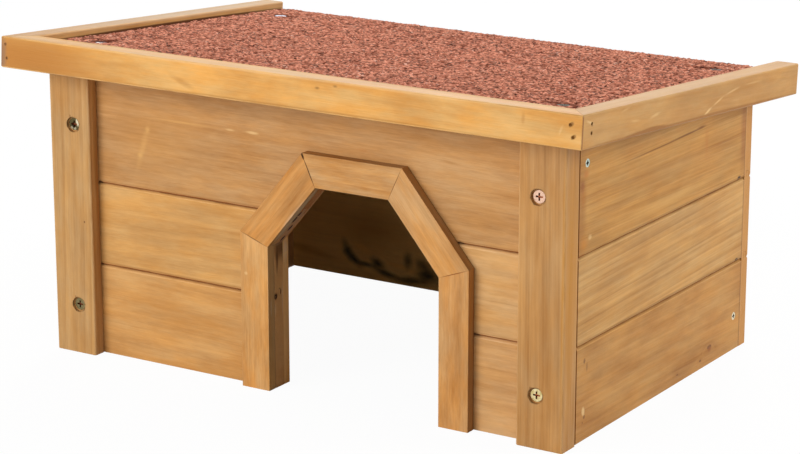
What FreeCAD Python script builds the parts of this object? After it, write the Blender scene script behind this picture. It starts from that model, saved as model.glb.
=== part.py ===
import FreeCAD, Part
import math
import os

# A small wooden house for hamsters: three courses of tongue-and-groove planks on every side,
# a mitred doorway in the front wall, and a felted roof that slopes down to the rear.
# Millimetres, +Z up. The front faces -Y. The origin lies on the floor, under the middle of the roof.

# ---- Driving dimensions: the body ----------------------------------------------------------
body_width = 380.0            # outside of one front batten to the outside of the other
body_depth = 252.4            # front face of the battens to the outer face of the rear wall
plank_thickness = 9.0
bottom_joint_height = 60.0    # joint between the bottom and the middle course
top_joint_height = 115.0      # joint between the middle and the top course
side_inset = 1.0              # the side planks stand this far in from the battens' outer sides

# ---- Tongue and groove -----------------------------------------------------------------------
tongue_thickness = 3.0
tongue_height = 4.0
tongue_gap = 0.25             # play on each side of the tongue and above it
groove_chamfer = 1.3          # each plank's share of the V-groove that shows at a joint

# ---- Front battens, rebated for the ends of the front planks -------------------------------
batten_width = 31.5
batten_depth = 15.3
batten_proud = 9.2            # how far the battens stand in front of the planks
batten_lip = 8.0              # wood left beside the rebate, on the batten's outer side

# ---- Corner posts inside -------------------------------------------------------------------
post_width = 12.0
post_depth = 21.5

# ---- Doorway -------------------------------------------------------------------------------
doorway_centre = 41.0         # to the right of the middle of the wall
doorway_width = 124.2
doorway_shoulder_height = 94.2
doorway_height = 137.0
doorway_top_width = 52.6
trim_strip_width = 21.0
trim_strip_thickness = 7.0
backing_strip_width = 21.0
backing_strip_thickness = 6.5
backing_rise = 2.2            # the backing's slopes and top stand this far above the doorway's edge

# ---- Roof ----------------------------------------------------------------------------------
roof_pitch = 4.45             # degrees, down to the rear
roof_length = 293.6           # along the slope
side_overhang = 21.1          # past the battens' outer sides
front_overhang = 21.6         # past the battens' front faces
roof_edge_height = 191.1      # floor to the underside of the front edge board
edge_board_height = 20.2
side_edge_board_width = 15.6
front_edge_board_width = 18.0
edge_board_drop = 3.0         # the edge boards reach this far below the roof panel
roof_panel_thickness = 10.0
felt_thickness = 3.0
felt_setback = 0.8            # the felt ends this far short of the roof's rear end

# ---- Fasteners -----------------------------------------------------------------------------
batten_screw_head = 7.9
batten_screw_shank = 3.6
batten_screw_length = 32.0
batten_screw_sink = 1.5       # the head lies this far below the batten's face
counterbore_gap = 1.0         # ring of air round a sunk head
batten_screw_inset = 18.5     # from the batten's outer side
batten_screw_low = 33.0
batten_screw_high = 154.0
wall_screw_head = 5.2
wall_screw_shank = 2.8
wall_screw_length = 18.0
wall_screw_sink = 0.1
wall_screw_low = 23.3
wall_screw_high = 171.0
wall_screw_end_inset = 9.0    # from the end of a side plank
rear_screw_end_inset = 16.0   # from the end of a rear plank
rear_screw_rise = 5.0         # above the middle of the bottom plank, clear of the side screw
rear_screw_above_joint = 29.0 # top screw of the rear wall, above the top joint
roof_screw_head = 8.0
roof_screw_shank = 3.5
roof_screw_length = 24.0
roof_screw_sink = 0.5         # the head is pulled this far into the felt
roof_screw_gap = 0.5          # ring of torn felt round the head
roof_screw_inset = 9.4        # from the inner face of the side planks
recess_share = 0.60           # span of a cross recess as a share of the head
recess_arm = 1.1
recess_depth = 1.5
head_rim = 0.45               # straight rim round a countersunk head
screw_tip = 4.0
thread_gap = 0.1              # play round a shank in its bore
brad_shank = 1.2
brad_head = 1.8
brad_head_height = 0.6
brad_sink = 0.5
wall_brad_length = 14.0
edge_brad_length = 16.0
corner_brad_length = 8.5
corner_brads_left = ((3.5, 15.2), (4.7, 6.3))    # in from the front board's corner, and height
corner_brads_right = ((8.1, 14.0), (6.1, 7.0))
side_corner_heights = (8.8, 14.3)
rear_brad_inset = 13.0        # from the rear end of a side edge board
brad_clearance = 0.6          # between brads that cross at a corner
plank_brad_spread = 30.0      # between the two brads of a plank end
top_brad_above_joint = 25.0   # middle of the top plank's two brads, above the top joint
doorway_brad_bite = 4.2       # how deep a doorway brad goes into the trim
leg_brad_shares = (0.2, 0.8)  # places of the brads along a doorway leg
slope_brad_shares = (0.25, 0.75)

# ---- Fits ----------------------------------------------------------------------------------
butt_gap = 0.1                # between pieces that butt or lie on each other
past = 5.0                    # how far a cutting solid runs past what it cuts

# ---- Places worked out from the driving dimensions -----------------------------------------
pitch = math.radians(roof_pitch)
footprint_depth = roof_length * math.cos(pitch) + edge_board_height * math.sin(pitch)
roof_front_y = -footprint_depth / 2
wall_front_y = roof_front_y + front_overhang
front_plank_y = wall_front_y + batten_proud
front_plank_back_y = front_plank_y + plank_thickness
side_start_y = front_plank_back_y + butt_gap
rear_face_y = wall_front_y + body_depth
rear_plank_inner_y = rear_face_y - plank_thickness
side_end_y = rear_plank_inner_y - butt_gap
half_body = body_width / 2
side_face_x = half_body - side_inset
side_inner_x = side_face_x - plank_thickness
front_plank_end_x = half_body - batten_lip - butt_gap
half_roof = half_body + side_overhang
panel_underside = edge_board_drop
panel_top = panel_underside + roof_panel_thickness
felt_top = panel_top + felt_thickness
above_all = roof_edge_height + edge_board_height + past
down = FreeCAD.Vector(0, 0, -1)

nodes = {}


# ---- Basic solids --------------------------------------------------------------------------
def box(x0, x1, y0, y1, z0, z1):
    return Part.makeBox(x1 - x0, y1 - y0, z1 - z0, FreeCAD.Vector(x0, y0, z0))


def prism(points, along):
    """A closed outline of 3-D points, pushed along a vector."""
    corners = [FreeCAD.Vector(*point) for point in points]
    return Part.Face(Part.makePolygon(corners + corners[:1])).extrude(FreeCAD.Vector(*along))


def prism_through_wall(outline, y0, y1):
    """An outline in X and Z, carried from y0 to y1."""
    return prism([(x, y0, z) for x, z in outline], (0, y1 - y0, 0))


def tilt_roof(shape):
    """Moves a shape from the flat roof frame to the roof's place and slope."""
    shape = shape.copy()
    shape.rotate(FreeCAD.Vector(0, 0, 0), FreeCAD.Vector(1, 0, 0), -roof_pitch)
    shape.translate(FreeCAD.Vector(0, roof_front_y, roof_edge_height))
    return shape


def tilted_place(point, direction):
    """A point and a direction of the flat roof frame, moved to the roof's place and slope."""
    turn = FreeCAD.Rotation(FreeCAD.Vector(1, 0, 0), -roof_pitch)
    at = turn.multVec(FreeCAD.Vector(*point)) + FreeCAD.Vector(0, roof_front_y, roof_edge_height)
    return tuple(at), tuple(turn.multVec(FreeCAD.Vector(*direction)))


def space_above_walls():
    """All the room from the underside of the roof panel upwards."""
    reach = half_roof + past
    return tilt_roof(box(-reach, reach, -above_all, roof_length + above_all,
                         panel_underside - butt_gap, above_all))


roof_space = space_above_walls()


# ---- Planks --------------------------------------------------------------------------------
def plank_section(bottom, top, grooved, tongued):
    """Outline as (depth from the outer face, height), with a groove below and a tongue above."""
    tongue_out = (plank_thickness - tongue_thickness) / 2
    tongue_in = tongue_out + tongue_thickness
    groove_out = tongue_out - tongue_gap
    groove_in = tongue_in + tongue_gap
    groove_top = bottom + tongue_height + tongue_gap
    outline = [(0, bottom)]
    if grooved:
        outline = [(0, bottom + groove_chamfer), (groove_chamfer, bottom), (groove_out, bottom),
                   (groove_out, groove_top), (groove_in, groove_top), (groove_in, bottom)]
    outline.append((plank_thickness, bottom))
    outline.append((plank_thickness, top))
    if not tongued:
        return outline + [(0, top)]
    return outline + [(tongue_in, top), (tongue_in, top + tongue_height),
                      (tongue_out, top + tongue_height), (tongue_out, top),
                      (groove_chamfer, top), (0, top - groove_chamfer)]


courses = {
    "bottom": plank_section(0, bottom_joint_height, False, True),
    "middle": plank_section(bottom_joint_height, top_joint_height, True, True),
    "top": plank_section(top_joint_height, above_all, True, False),
}


def plank_along_x(course, face_y, inward, x0, x1):
    outline = [(x0, face_y + inward * depth, height) for depth, height in courses[course]]
    return prism(outline, (x1 - x0, 0, 0)).cut(roof_space)


def plank_along_y(course, face_x, inward, y0, y1):
    outline = [(face_x + inward * depth, y0, height) for depth, height in courses[course]]
    return prism(outline, (0, y1 - y0, 0)).cut(roof_space)


# ---- Doorway outline -----------------------------------------------------------------------
def doorway_corners(offset):
    """Half-widths and heights of the doorway's outline, moved outwards by an offset."""
    rise = doorway_height - doorway_shoulder_height
    run = (doorway_width - doorway_top_width) / 2
    slope = math.atan2(rise, run)
    half_width = doorway_width / 2 + offset
    shoulder = doorway_shoulder_height + offset * math.tan((math.pi / 2 - slope) / 2)
    half_top = doorway_top_width / 2 + offset * math.tan(slope / 2)
    return half_width, shoulder, half_top, doorway_height + offset


def doorway_solid(y0, y1):
    half_width, shoulder, half_top, top = doorway_corners(0)
    outline = [(-half_width, -past), (half_width, -past), (half_width, shoulder),
               (half_top, top), (-half_top, top), (-half_width, shoulder)]
    return prism_through_wall([(doorway_centre + x, z) for x, z in outline], y0, y1)


def raised_corners(offset, rise):
    half_width, shoulder, half_top, top = doorway_corners(offset)
    return half_width, shoulder + rise, half_top, top + rise


def doorway_frame(prefix, strip_width, rise, y0, y1):
    """Five mitred strips round the doorway: two legs, two slopes and the top."""
    inner = raised_corners(0, rise)
    outer = raised_corners(strip_width, rise)
    for side, sign in (("left", -1), ("right", 1)):
        leg = [(inner[0], 0), (inner[0], inner[1]), (outer[0], outer[1]), (outer[0], 0)]
        slope = [(inner[0], inner[1]), (inner[2], inner[3]), (outer[2], outer[3]), (outer[0], outer[1])]
        for piece, outline in (("leg", leg), ("slope", slope)):
            placed = [(doorway_centre + sign * x, z) for x, z in outline]
            nodes[f"{prefix}_{side}_{piece}"] = prism_through_wall(placed, y0, y1)
    top = [(-inner[2], inner[3]), (inner[2], inner[3]), (outer[2], outer[3]), (-outer[2], outer[3])]
    placed = [(doorway_centre + x, z) for x, z in top]
    nodes[f"{prefix}_top"] = prism_through_wall(placed, y0, y1)


# ---- Walls ---------------------------------------------------------------------------------
def front_wall():
    doorway = doorway_solid(front_plank_y - past, front_plank_back_y + past)
    top = plank_along_x("top", front_plank_y, 1, -front_plank_end_x, front_plank_end_x)
    nodes["front_plank_top"] = top.cut(doorway)
    for course in ("middle", "bottom"):
        left = plank_along_x(course, front_plank_y, 1, -front_plank_end_x, doorway_centre)
        right = plank_along_x(course, front_plank_y, 1, doorway_centre, front_plank_end_x)
        nodes[f"front_plank_{course}_left"] = left.cut(doorway)
        nodes[f"front_plank_{course}_right"] = right.cut(doorway)


def side_walls():
    for side, sign in (("left", -1), ("right", 1)):
        for course in courses:
            plank = plank_along_y(course, sign * side_face_x, -sign, side_start_y, side_end_y)
            nodes[f"{side}_plank_{course}"] = plank


def rear_wall():
    for course in courses:
        nodes[f"rear_plank_{course}"] = plank_along_x(course, rear_face_y, -1, -side_face_x, side_face_x)


def front_battens():
    """Battens over the ends of the front planks, with a rebate behind that takes the planks."""
    for side, sign in (("left", -1), ("right", 1)):
        xs = sorted((sign * half_body, sign * (half_body - batten_width)))
        rebate = sorted((sign * (half_body - batten_lip), sign * (half_body - batten_width - past)))
        batten = box(xs[0], xs[1], wall_front_y, wall_front_y + batten_depth, 0, above_all)
        seat = box(rebate[0], rebate[1], front_plank_y - butt_gap, front_plank_back_y + past,
                   -past, above_all + past)
        nodes[f"front_batten_{side}"] = batten.cut(seat).cut(roof_space)


def corner_posts():
    for side, sign in (("left", -1), ("right", 1)):
        face = side_inner_x - butt_gap
        xs = sorted((sign * face, sign * (face - post_width)))
        for end, y0 in (("front", side_start_y), ("rear", side_end_y - post_depth)):
            post = box(xs[0], xs[1], y0, y0 + post_depth, 0, above_all).cut(roof_space)
            nodes[f"{end}_{side}_corner_post"] = post


def doorway_frames():
    trim_back = front_plank_y - butt_gap
    doorway_frame("doorway_trim", trim_strip_width, 0, trim_back - trim_strip_thickness, trim_back)
    backing = front_plank_back_y + butt_gap
    doorway_frame("doorway_backing", backing_strip_width, backing_rise,
                  backing, backing + backing_strip_thickness)


# ---- Roof, built flat with its front edge on the X axis, then tilted ---------------------------
def roof():
    inner_x = half_roof - side_edge_board_width - butt_gap
    inner_y = front_edge_board_width + butt_gap
    panel = box(-inner_x, inner_x, inner_y, roof_length, panel_underside, panel_top)
    felt = box(-inner_x, inner_x, inner_y, roof_length - felt_setback, panel_top, felt_top)
    nodes["roof_panel"] = tilt_roof(panel)
    nodes["roof_felt"] = tilt_roof(felt)
    lift = (0, 0, edge_board_height)
    inner_corner = half_roof - side_edge_board_width
    front = [(-half_roof, 0, 0), (half_roof, 0, 0), (inner_corner, front_edge_board_width, 0),
             (-inner_corner, front_edge_board_width, 0)]
    nodes["roof_edge_board_front"] = tilt_roof(prism(front, lift))
    for side, sign in (("left", -1), ("right", 1)):
        board = [(half_roof, 0, 0), (half_roof, roof_length, 0), (inner_corner, roof_length, 0),
                 (inner_corner, front_edge_board_width, 0)]
        placed = [(sign * x, y, z) for x, y, z in board]
        nodes[f"roof_edge_board_{side}"] = tilt_roof(prism(placed, lift))


# ---- Screws and brads, made with the head's top at the origin and the shank down -Z ------------
def shank(radius, start, length, tip):
    """A cylinder from -start to -length that ends in a cone."""
    straight = Part.makeCylinder(radius, length - tip - start, FreeCAD.Vector(0, 0, -start), down)
    point = Part.makeCone(radius, 0, tip, FreeCAD.Vector(0, 0, tip - length), down)
    return straight.fuse(point)


def cross_recess(head):
    reach = head * recess_share / 2
    arm = recess_arm / 2
    one = box(-reach, reach, -arm, arm, -recess_depth, past)
    return one.fuse(box(-arm, arm, -reach, reach, -recess_depth, past))


def countersunk_screw(head, shank_diameter, length):
    taper = (head - shank_diameter) / 2
    rim = Part.makeCylinder(head / 2, head_rim, FreeCAD.Vector(0, 0, 0), down)
    cone = Part.makeCone(head / 2, shank_diameter / 2, taper, FreeCAD.Vector(0, 0, -head_rim), down)
    body = rim.fuse([cone, shank(shank_diameter / 2, head_rim + taper, length, screw_tip)])
    return body.cut(cross_recess(head)).removeSplitter()


def countersunk_bore(head, shank_diameter, length, sink, ring):
    """Room for a countersunk screw: a counterbore, the countersink and the pilot hole."""
    radius = shank_diameter / 2 + thread_gap
    rim = head_rim + thread_gap
    taper = (head - shank_diameter) / 2
    mouth = Part.makeCylinder(head / 2 + ring, sink + past + rim, FreeCAD.Vector(0, 0, sink + past), down)
    cone = Part.makeCone(head / 2 + thread_gap, radius, taper, FreeCAD.Vector(0, 0, -rim), down)
    hole = Part.makeCylinder(radius, length + thread_gap, FreeCAD.Vector(0, 0, 0), down)
    return mouth.fuse([cone, hole])


def brad(length):
    head = Part.makeCylinder(brad_head / 2, brad_head_height, FreeCAD.Vector(0, 0, 0), down)
    return head.fuse(shank(brad_shank / 2, brad_head_height, length, brad_shank)).removeSplitter()


def brad_bore(length):
    mouth = Part.makeCylinder(brad_head / 2 + thread_gap, brad_sink + past + brad_head_height + thread_gap,
                              FreeCAD.Vector(0, 0, brad_sink + past), down)
    hole = Part.makeCylinder(brad_shank / 2 + thread_gap, length + thread_gap, FreeCAD.Vector(0, 0, 0), down)
    return mouth.fuse(hole)


def place(shape, point, direction):
    """Turns a fastener from -Z to a direction and moves its head to a point."""
    turned = shape.copy()
    turn = FreeCAD.Rotation(down, FreeCAD.Vector(*direction))
    turned.Placement = FreeCAD.Placement(FreeCAD.Vector(*point), turn)
    return turned


def touches(shape, other):
    return shape.BoundBox.intersect(other.BoundBox)


def drive(name, fastener, bore, places, wood):
    """Sets a group of fasteners and bores the wood that they pass through."""
    group = []
    for point, direction in places:
        group.append(place(fastener, point, direction))
        hole = place(bore, point, direction)
        for piece in wood:
            if touches(nodes[piece], hole):
                nodes[piece] = nodes[piece].cut(hole)
    nodes[name] = Part.makeCompound(group)


def front_batten_screws():
    head_y = wall_front_y + batten_screw_sink
    x = half_body - batten_screw_inset
    places = [((sign * x, head_y, z), (0, 1, 0)) for sign in (-1, 1)
              for z in (batten_screw_low, batten_screw_high)]
    size = (batten_screw_head, batten_screw_shank, batten_screw_length)
    bore = countersunk_bore(*size, batten_screw_sink, counterbore_gap)
    wood = [name for name in nodes if name.startswith("front_")]
    drive("front_batten_screws", countersunk_screw(*size), bore, places, wood)


def wall_screws():
    """Small screws through the side planks and the rear planks into the corner posts."""
    size = (wall_screw_head, wall_screw_shank, wall_screw_length)
    screw = countersunk_screw(*size)
    bore = countersunk_bore(*size, wall_screw_sink, thread_gap)
    posts = [name for name in nodes if name.endswith("corner_post")]
    face_x = side_face_x - wall_screw_sink
    sides = [((sign * face_x, y, z), (-sign, 0, 0)) for sign in (-1, 1)
             for y, z in ((side_start_y + wall_screw_end_inset, wall_screw_high),
                          (side_end_y - wall_screw_end_inset - butt_gap, wall_screw_low))]
    wood = posts + [name for name in nodes if name.startswith(("left_plank", "right_plank"))]
    drive("side_wall_screws", screw, bore, sides, wood)
    face_y = rear_face_y - wall_screw_sink
    x = side_face_x - rear_screw_end_inset
    middle = (bottom_joint_height + top_joint_height) / 2
    low = bottom_joint_height / 2 + rear_screw_rise
    heights = (low, middle, top_joint_height + rear_screw_above_joint)
    rear = [((sign * x, face_y, z), (0, -1, 0)) for sign in (-1, 1) for z in heights]
    wood = posts + [name for name in nodes if name.startswith("rear_plank")]
    drive("rear_wall_screws", screw, bore, rear, wood)


def roof_screws():
    """One screw down through felt and panel into the top of every corner post, square to the roof."""
    size = (roof_screw_head, roof_screw_shank, roof_screw_length)
    bore = countersunk_bore(*size, roof_screw_sink, roof_screw_gap)
    x = side_inner_x - roof_screw_inset
    height = felt_top - roof_screw_sink
    places = []
    for post_y in (side_start_y + post_depth / 2, side_end_y - post_depth / 2):
        along = (post_y - roof_front_y) / math.cos(pitch)
        places += [tilted_place((sign * x, along, height), (0, 0, -1)) for sign in (-1, 1)]
    wood = ["roof_panel", "roof_felt"] + [name for name in nodes if name.endswith("corner_post")]
    drive("roof_screws", countersunk_screw(*size), bore, places, wood)


def side_wall_brads():
    """Two brads in each end of every side plank, into the corner posts."""
    face_x = side_face_x - brad_sink
    middle = (bottom_joint_height + top_joint_height) / 2
    spread = plank_brad_spread / 2
    rows = (bottom_joint_height / 2, middle, top_joint_height + top_brad_above_joint)
    ends = (side_start_y + wall_screw_end_inset, side_end_y - wall_screw_end_inset)
    places = [((sign * face_x, y, row + shift), (-sign, 0, 0)) for sign in (-1, 1)
              for y in ends for row in rows for shift in (-spread, spread)]
    wood = [name for name in nodes if name.endswith("corner_post")]
    wood += [name for name in nodes if name.startswith(("left_plank", "right_plank"))]
    drive("side_wall_brads", brad(wall_brad_length), brad_bore(wall_brad_length), places, wood)


def doorway_brads():
    """Two brads in each backing strip, through the planks into the trim in front."""
    length = backing_strip_thickness + plank_thickness + doorway_brad_bite
    head_y = front_plank_back_y + butt_gap + backing_strip_thickness - brad_sink
    middle = min(trim_strip_width, backing_strip_width) / 2
    half_width, shoulder, half_top, top = doorway_corners(middle)
    spots = [(half_top / 2, top)]
    spots += [(half_width, shoulder * share) for share in leg_brad_shares]
    spots += [(half_width + (half_top - half_width) * share, shoulder + (top - shoulder) * share)
              for share in slope_brad_shares]
    places = [((doorway_centre + sign * x, head_y, z), (0, -1, 0)) for sign in (-1, 1) for x, z in spots]
    wood = [name for name in nodes if name.startswith(("doorway_", "front_plank"))]
    drive("doorway_brads", brad(length), brad_bore(length), places, wood)


def roof_edge_brads():
    """Pairs of brads at the mitred corners, and brads through the side boards into the panel."""
    short, long = [], []
    panel_middle = panel_underside + roof_panel_thickness / 2
    behind_corner = brad_sink + corner_brad_length + brad_head / 2 + brad_clearance
    for sign, corner in ((-1, corner_brads_left), (1, corner_brads_right)):
        side_x = sign * (half_roof - brad_sink)
        inward = (-sign, 0, 0)
        short += [((sign * (half_roof - inset), brad_sink, height), (0, 1, 0)) for inset, height in corner]
        long += [((side_x, behind_corner, height), inward) for height in side_corner_heights]
        long += [((side_x, along, panel_middle), inward)
                 for along in (roof_length / 2, roof_length - rear_brad_inset)]
    wood = [name for name in nodes if name.startswith("roof_edge_board")] + ["roof_panel"]
    group = []
    for places, length in ((short, corner_brad_length), (long, edge_brad_length)):
        tilted = [tilted_place(point, direction) for point, direction in places]
        drive("roof_edge_brads", brad(length), brad_bore(length), tilted, wood)
        group += nodes["roof_edge_brads"].Solids
    nodes["roof_edge_brads"] = Part.makeCompound(group)


# ---- Assembly ------------------------------------------------------------------------------
front_battens()
front_wall()
side_walls()
rear_wall()
corner_posts()
doorway_frames()
roof()
front_batten_screws()
wall_screws()
roof_screws()
side_wall_brads()
doorway_brads()
roof_edge_brads()

os.makedirs("parts", exist_ok=True)
for name, shape in nodes.items():
    shape.exportStep(f"parts/{name}.step")
    solids = shape.Solids
    volume = sum(solid.Volume for solid in solids) / 1000
    print(f"{name}: {len(solids)} solid(s), {volume:.2f} cm3, valid {shape.isValid()}")
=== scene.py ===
# %% [markdown]
# # A wooden house for a hamster
# The house stands on the floor without one of its own. Three courses of planks make each wall, two stout
# battens cover the front corners, mitred strips frame a doorway, and felt with mineral granules covers a
# roof that falls gently to the rear. The construction comes from the CAD model as a fixed frame. This
# lesson gives each piece the edges, the grain and the small faults that wood and metal really have.

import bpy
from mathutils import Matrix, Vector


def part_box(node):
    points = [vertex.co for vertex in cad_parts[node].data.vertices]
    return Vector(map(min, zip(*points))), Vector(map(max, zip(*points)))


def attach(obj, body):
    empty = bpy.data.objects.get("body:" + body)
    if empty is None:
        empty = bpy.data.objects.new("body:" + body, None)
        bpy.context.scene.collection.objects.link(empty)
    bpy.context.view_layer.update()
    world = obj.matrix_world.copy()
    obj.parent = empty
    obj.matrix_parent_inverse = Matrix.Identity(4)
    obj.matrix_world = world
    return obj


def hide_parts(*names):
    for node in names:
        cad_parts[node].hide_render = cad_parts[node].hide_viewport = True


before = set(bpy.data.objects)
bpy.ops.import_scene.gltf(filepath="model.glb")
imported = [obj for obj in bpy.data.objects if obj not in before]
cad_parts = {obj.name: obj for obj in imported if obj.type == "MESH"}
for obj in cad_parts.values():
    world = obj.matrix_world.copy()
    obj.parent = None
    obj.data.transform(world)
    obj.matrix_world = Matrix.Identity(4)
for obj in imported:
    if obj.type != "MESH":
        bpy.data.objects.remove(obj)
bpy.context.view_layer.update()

# %% Tools
import math
import random
import bmesh
import bpy
from mathutils import Euler, Matrix, Vector, noise

MM = 0.001
scene = bpy.context.scene
scene.view_settings.view_transform = "Standard"


def add_object(name, data):
    added = bpy.data.objects.new(name, data)
    scene.collection.objects.link(added)
    return added


def add_mesh(name, shape, material):
    """Turns a bmesh into an object of one material, and frees the bmesh."""
    mesh = bpy.data.meshes.new(name)
    shape.to_mesh(mesh)
    shape.free()
    mesh.materials.append(material)
    return add_object(name, mesh)


print("colours are shown with the view transform", scene.view_settings.view_transform)

# %% [markdown]
# ## The camera
# The house is seen from its right front corner, a little from above, with a long lens. A long lens keeps
# the upright edges nearly parallel, as a product picture does. The camera's axes come from two angles:
# how far it stands round to the right, and how far it looks down.

# %% Set up the camera
CAMERA_PLACE = (0.89971, -1.42808, 0.54833)
CAMERA_ROUND = math.radians(32.267)
CAMERA_DOWN = math.radians(15.458)
LENS, SENSOR_WIDTH = 120.22, 36.0
FARTHEST_SEEN = 50.0


def place_camera():
    camera = add_object("camera", bpy.data.cameras.new("camera"))
    camera.data.sensor_width = SENSOR_WIDTH
    camera.data.lens = LENS
    camera.data.clip_end = FARTHEST_SEEN
    camera.rotation_euler = (math.pi / 2 - CAMERA_DOWN, 0.0, CAMERA_ROUND)
    camera.location = CAMERA_PLACE
    scene.camera = camera
    return camera


print("camera lens", round(place_camera().data.lens, 2), "mm")

# %% [markdown]
# ## Helpers for shader nodes
# Every finish here is a small network of nodes. `add` makes one node, sets its choices and feeds its
# inputs: a socket is linked, and a plain value is written on the input itself. A shade that several
# materials share is a group, with named sockets of three kinds.

# %% A helper that adds a node
VECTOR, COLOUR, FLOAT = "NodeSocketVector", "NodeSocketColor", "NodeSocketFloat"


def feed(tree, socket, value):
    """Links a socket, or writes a plain value on it. A colour is red, green and blue, and opaque."""
    if isinstance(value, bpy.types.NodeSocket):
        tree.links.new(value, socket)
    elif socket.type == "RGBA":
        socket.default_value = (*value, 1.0)
    else:
        socket.default_value = value


def add(tree, kind, inputs=None, **choices):
    made = tree.nodes.new("ShaderNode" + kind)
    for key, value in choices.items():
        setattr(made, key, value)
    for key, value in (inputs or {}).items():
        feed(tree, made.inputs[key], value)
    return made


def maths(tree, operation, *values, clamp=False):
    return add(tree, "Math", dict(enumerate(values)), operation=operation, use_clamp=clamp).outputs[0]


def stretch(tree, vector, scale):
    return add(tree, "VectorMath", {0: vector, 1: scale}, operation="MULTIPLY").outputs[0]


def noise_at(tree, vector, seed, detail=2.0, roughness=0.5):
    return add(tree, "TexNoise", {"Vector": vector, "W": seed, "Scale": 1.0, "Detail": detail,
                                  "Roughness": roughness}, noise_dimensions="4D").outputs["Fac"]


def stretched_noise(tree, vector, scale, seed, detail=2.0, roughness=0.5):
    return noise_at(tree, stretch(tree, vector, scale), seed, detail, roughness)


def ramp(tree, value, low, high, to_low=0.0, to_high=1.0):
    return add(tree, "MapRange", {"Value": value, "From Min": low, "From Max": high, "To Min": to_low,
                                  "To Max": to_high}, interpolation_type="SMOOTHSTEP").outputs["Result"]


def blend_colours(tree, share, first, second, way="MIX"):
    return add(tree, "Mix", {0: share, 6: first, 7: second}, data_type="RGBA", blend_type=way,
               clamp_factor=True).outputs[2]


def new_group(name, inputs, outputs):
    """An empty node group with named sockets. Each input is (name, kind, value)."""
    group = bpy.data.node_groups.new(name, "ShaderNodeTree")
    for label, kind, value in inputs:
        socket = group.interface.new_socket(label, in_out="INPUT", socket_type=kind)
        if value is not None:
            socket.default_value = value
    for label, kind in outputs:
        group.interface.new_socket(label, in_out="OUTPUT", socket_type=kind)
    return group, group.nodes.new("NodeGroupInput").outputs, group.nodes.new("NodeGroupOutput")


def new_material(name):
    material = bpy.data.materials.new(name)
    material.use_nodes = True
    material.node_tree.nodes.clear()
    return material, material.node_tree


def finish_material(tree, inputs, height=None, depth=0.0001):
    """The one shader of a material, with a bump under it when there is a height."""
    if height is not None:
        inputs["Normal"] = add(tree, "Bump", {"Height": height, "Distance": depth}).outputs[0]
    shader = add(tree, "BsdfPrincipled", inputs)
    add(tree, "OutputMaterial", {0: shader.outputs[0]})


print("helpers for nodes are ready")

# %% [markdown]
# ## Floor and light
# The house stands on a plain white floor in an even white room. A large soft lamp stands to the left of
# the camera, a second one behind on the right lights the side wall, and a third one behind on the left
# skims the roof, so the felt gets its dark gaps and the tops of the boards a sheen. The camera sees the
# floor mostly as white, and the shadow stays on it as a soft grey. For every other ray the floor is a
# darker grey, so it throws less light up into the doorway.

# %% The floor
FLOOR_WHITE_SHARE = 0.96
FLOOR_SEEN, FLOOR_BOUNCE = 1.0, 0.64
FLOOR_HALF_WIDTH = 6.0


def seen_directly(tree):
    """1 for rays that show the surface to the camera, straight or in a reflection."""
    rays = add(tree, "LightPath").outputs
    both = maths(tree, "MAXIMUM", rays["Is Camera Ray"], rays["Is Glossy Ray"])
    return maths(tree, "MAXIMUM", both, rays["Is Transmission Ray"])


def make_floor():
    material, tree = new_material("white floor")
    coords = add(tree, "TexCoord").outputs["Object"]
    speckle = stretched_noise(tree, coords, (40.0, 40.0, 40.0), 3.0)
    seen = seen_directly(tree)
    grey = add(tree, "MapRange", {"Value": seen, "To Min": FLOOR_BOUNCE, "To Max": FLOOR_SEEN})
    grey = maths(tree, "MULTIPLY", grey.outputs[0], ramp(tree, speckle, 0.3, 0.7, 0.98, 1.0))
    colour = add(tree, "CombineColor", {0: grey, 1: grey, 2: grey}).outputs[0]
    plain = add(tree, "BsdfPrincipled", {"Base Color": colour, "Roughness": 0.9, "Specular IOR Level": 0.1})
    white = add(tree, "Emission", {"Color": (1.0, 1.0, 1.0), "Strength": 1.0})
    share = maths(tree, "MULTIPLY", seen, FLOOR_WHITE_SHARE)
    mixed = add(tree, "MixShader", {0: share, 1: plain.outputs[0], 2: white.outputs[0]})
    add(tree, "OutputMaterial", {0: mixed.outputs[0]})
    shape = bmesh.new()
    bmesh.ops.create_grid(shape, x_segments=8, y_segments=8, size=FLOOR_HALF_WIDTH)
    floor = add_mesh("floor", shape, material)
    return floor


print("floor", make_floor().dimensions[:2])

# %% The room's light and the lamps
ROOM_LIGHT = 0.42


def light_room():
    world = bpy.data.worlds.new("white room")
    world.use_nodes = True
    tree = world.node_tree
    tree.nodes.clear()
    seen = seen_directly(tree)
    strength = add(tree, "MapRange", {"Value": seen, "To Min": ROOM_LIGHT, "To Max": 1.0})
    background = add(tree, "Background", {"Color": (1.0, 1.0, 1.0), "Strength": strength.outputs[0]})
    add(tree, "OutputWorld", {0: background.outputs[0]})
    scene.world = world


def soft_lamp(name, place, aim, size, power):
    lamp = add_object(name, bpy.data.lights.new(name, "AREA"))
    lamp.data.shape = "DISK"
    lamp.data.size = size
    lamp.data.energy = power
    lamp.location = place
    lamp.rotation_euler = (Vector(aim) - Vector(place)).to_track_quat("-Z", "Y").to_euler()
    return lamp


light_room()
MIDDLE = (0.0, 0.0, 0.1)
soft_lamp("lamp left of the camera", (-0.75, -2.0, 0.85), MIDDLE, 1.5, 33.0)
soft_lamp("lamp behind on the right", (2.0, 0.9, 1.0), MIDDLE, 1.4, 27.0)
soft_lamp("lamp behind on the left", (-0.6, 1.9, 1.7), MIDDLE, 1.0, 26.0)
print("room light", ROOM_LIGHT, "and 3 lamps")

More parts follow.
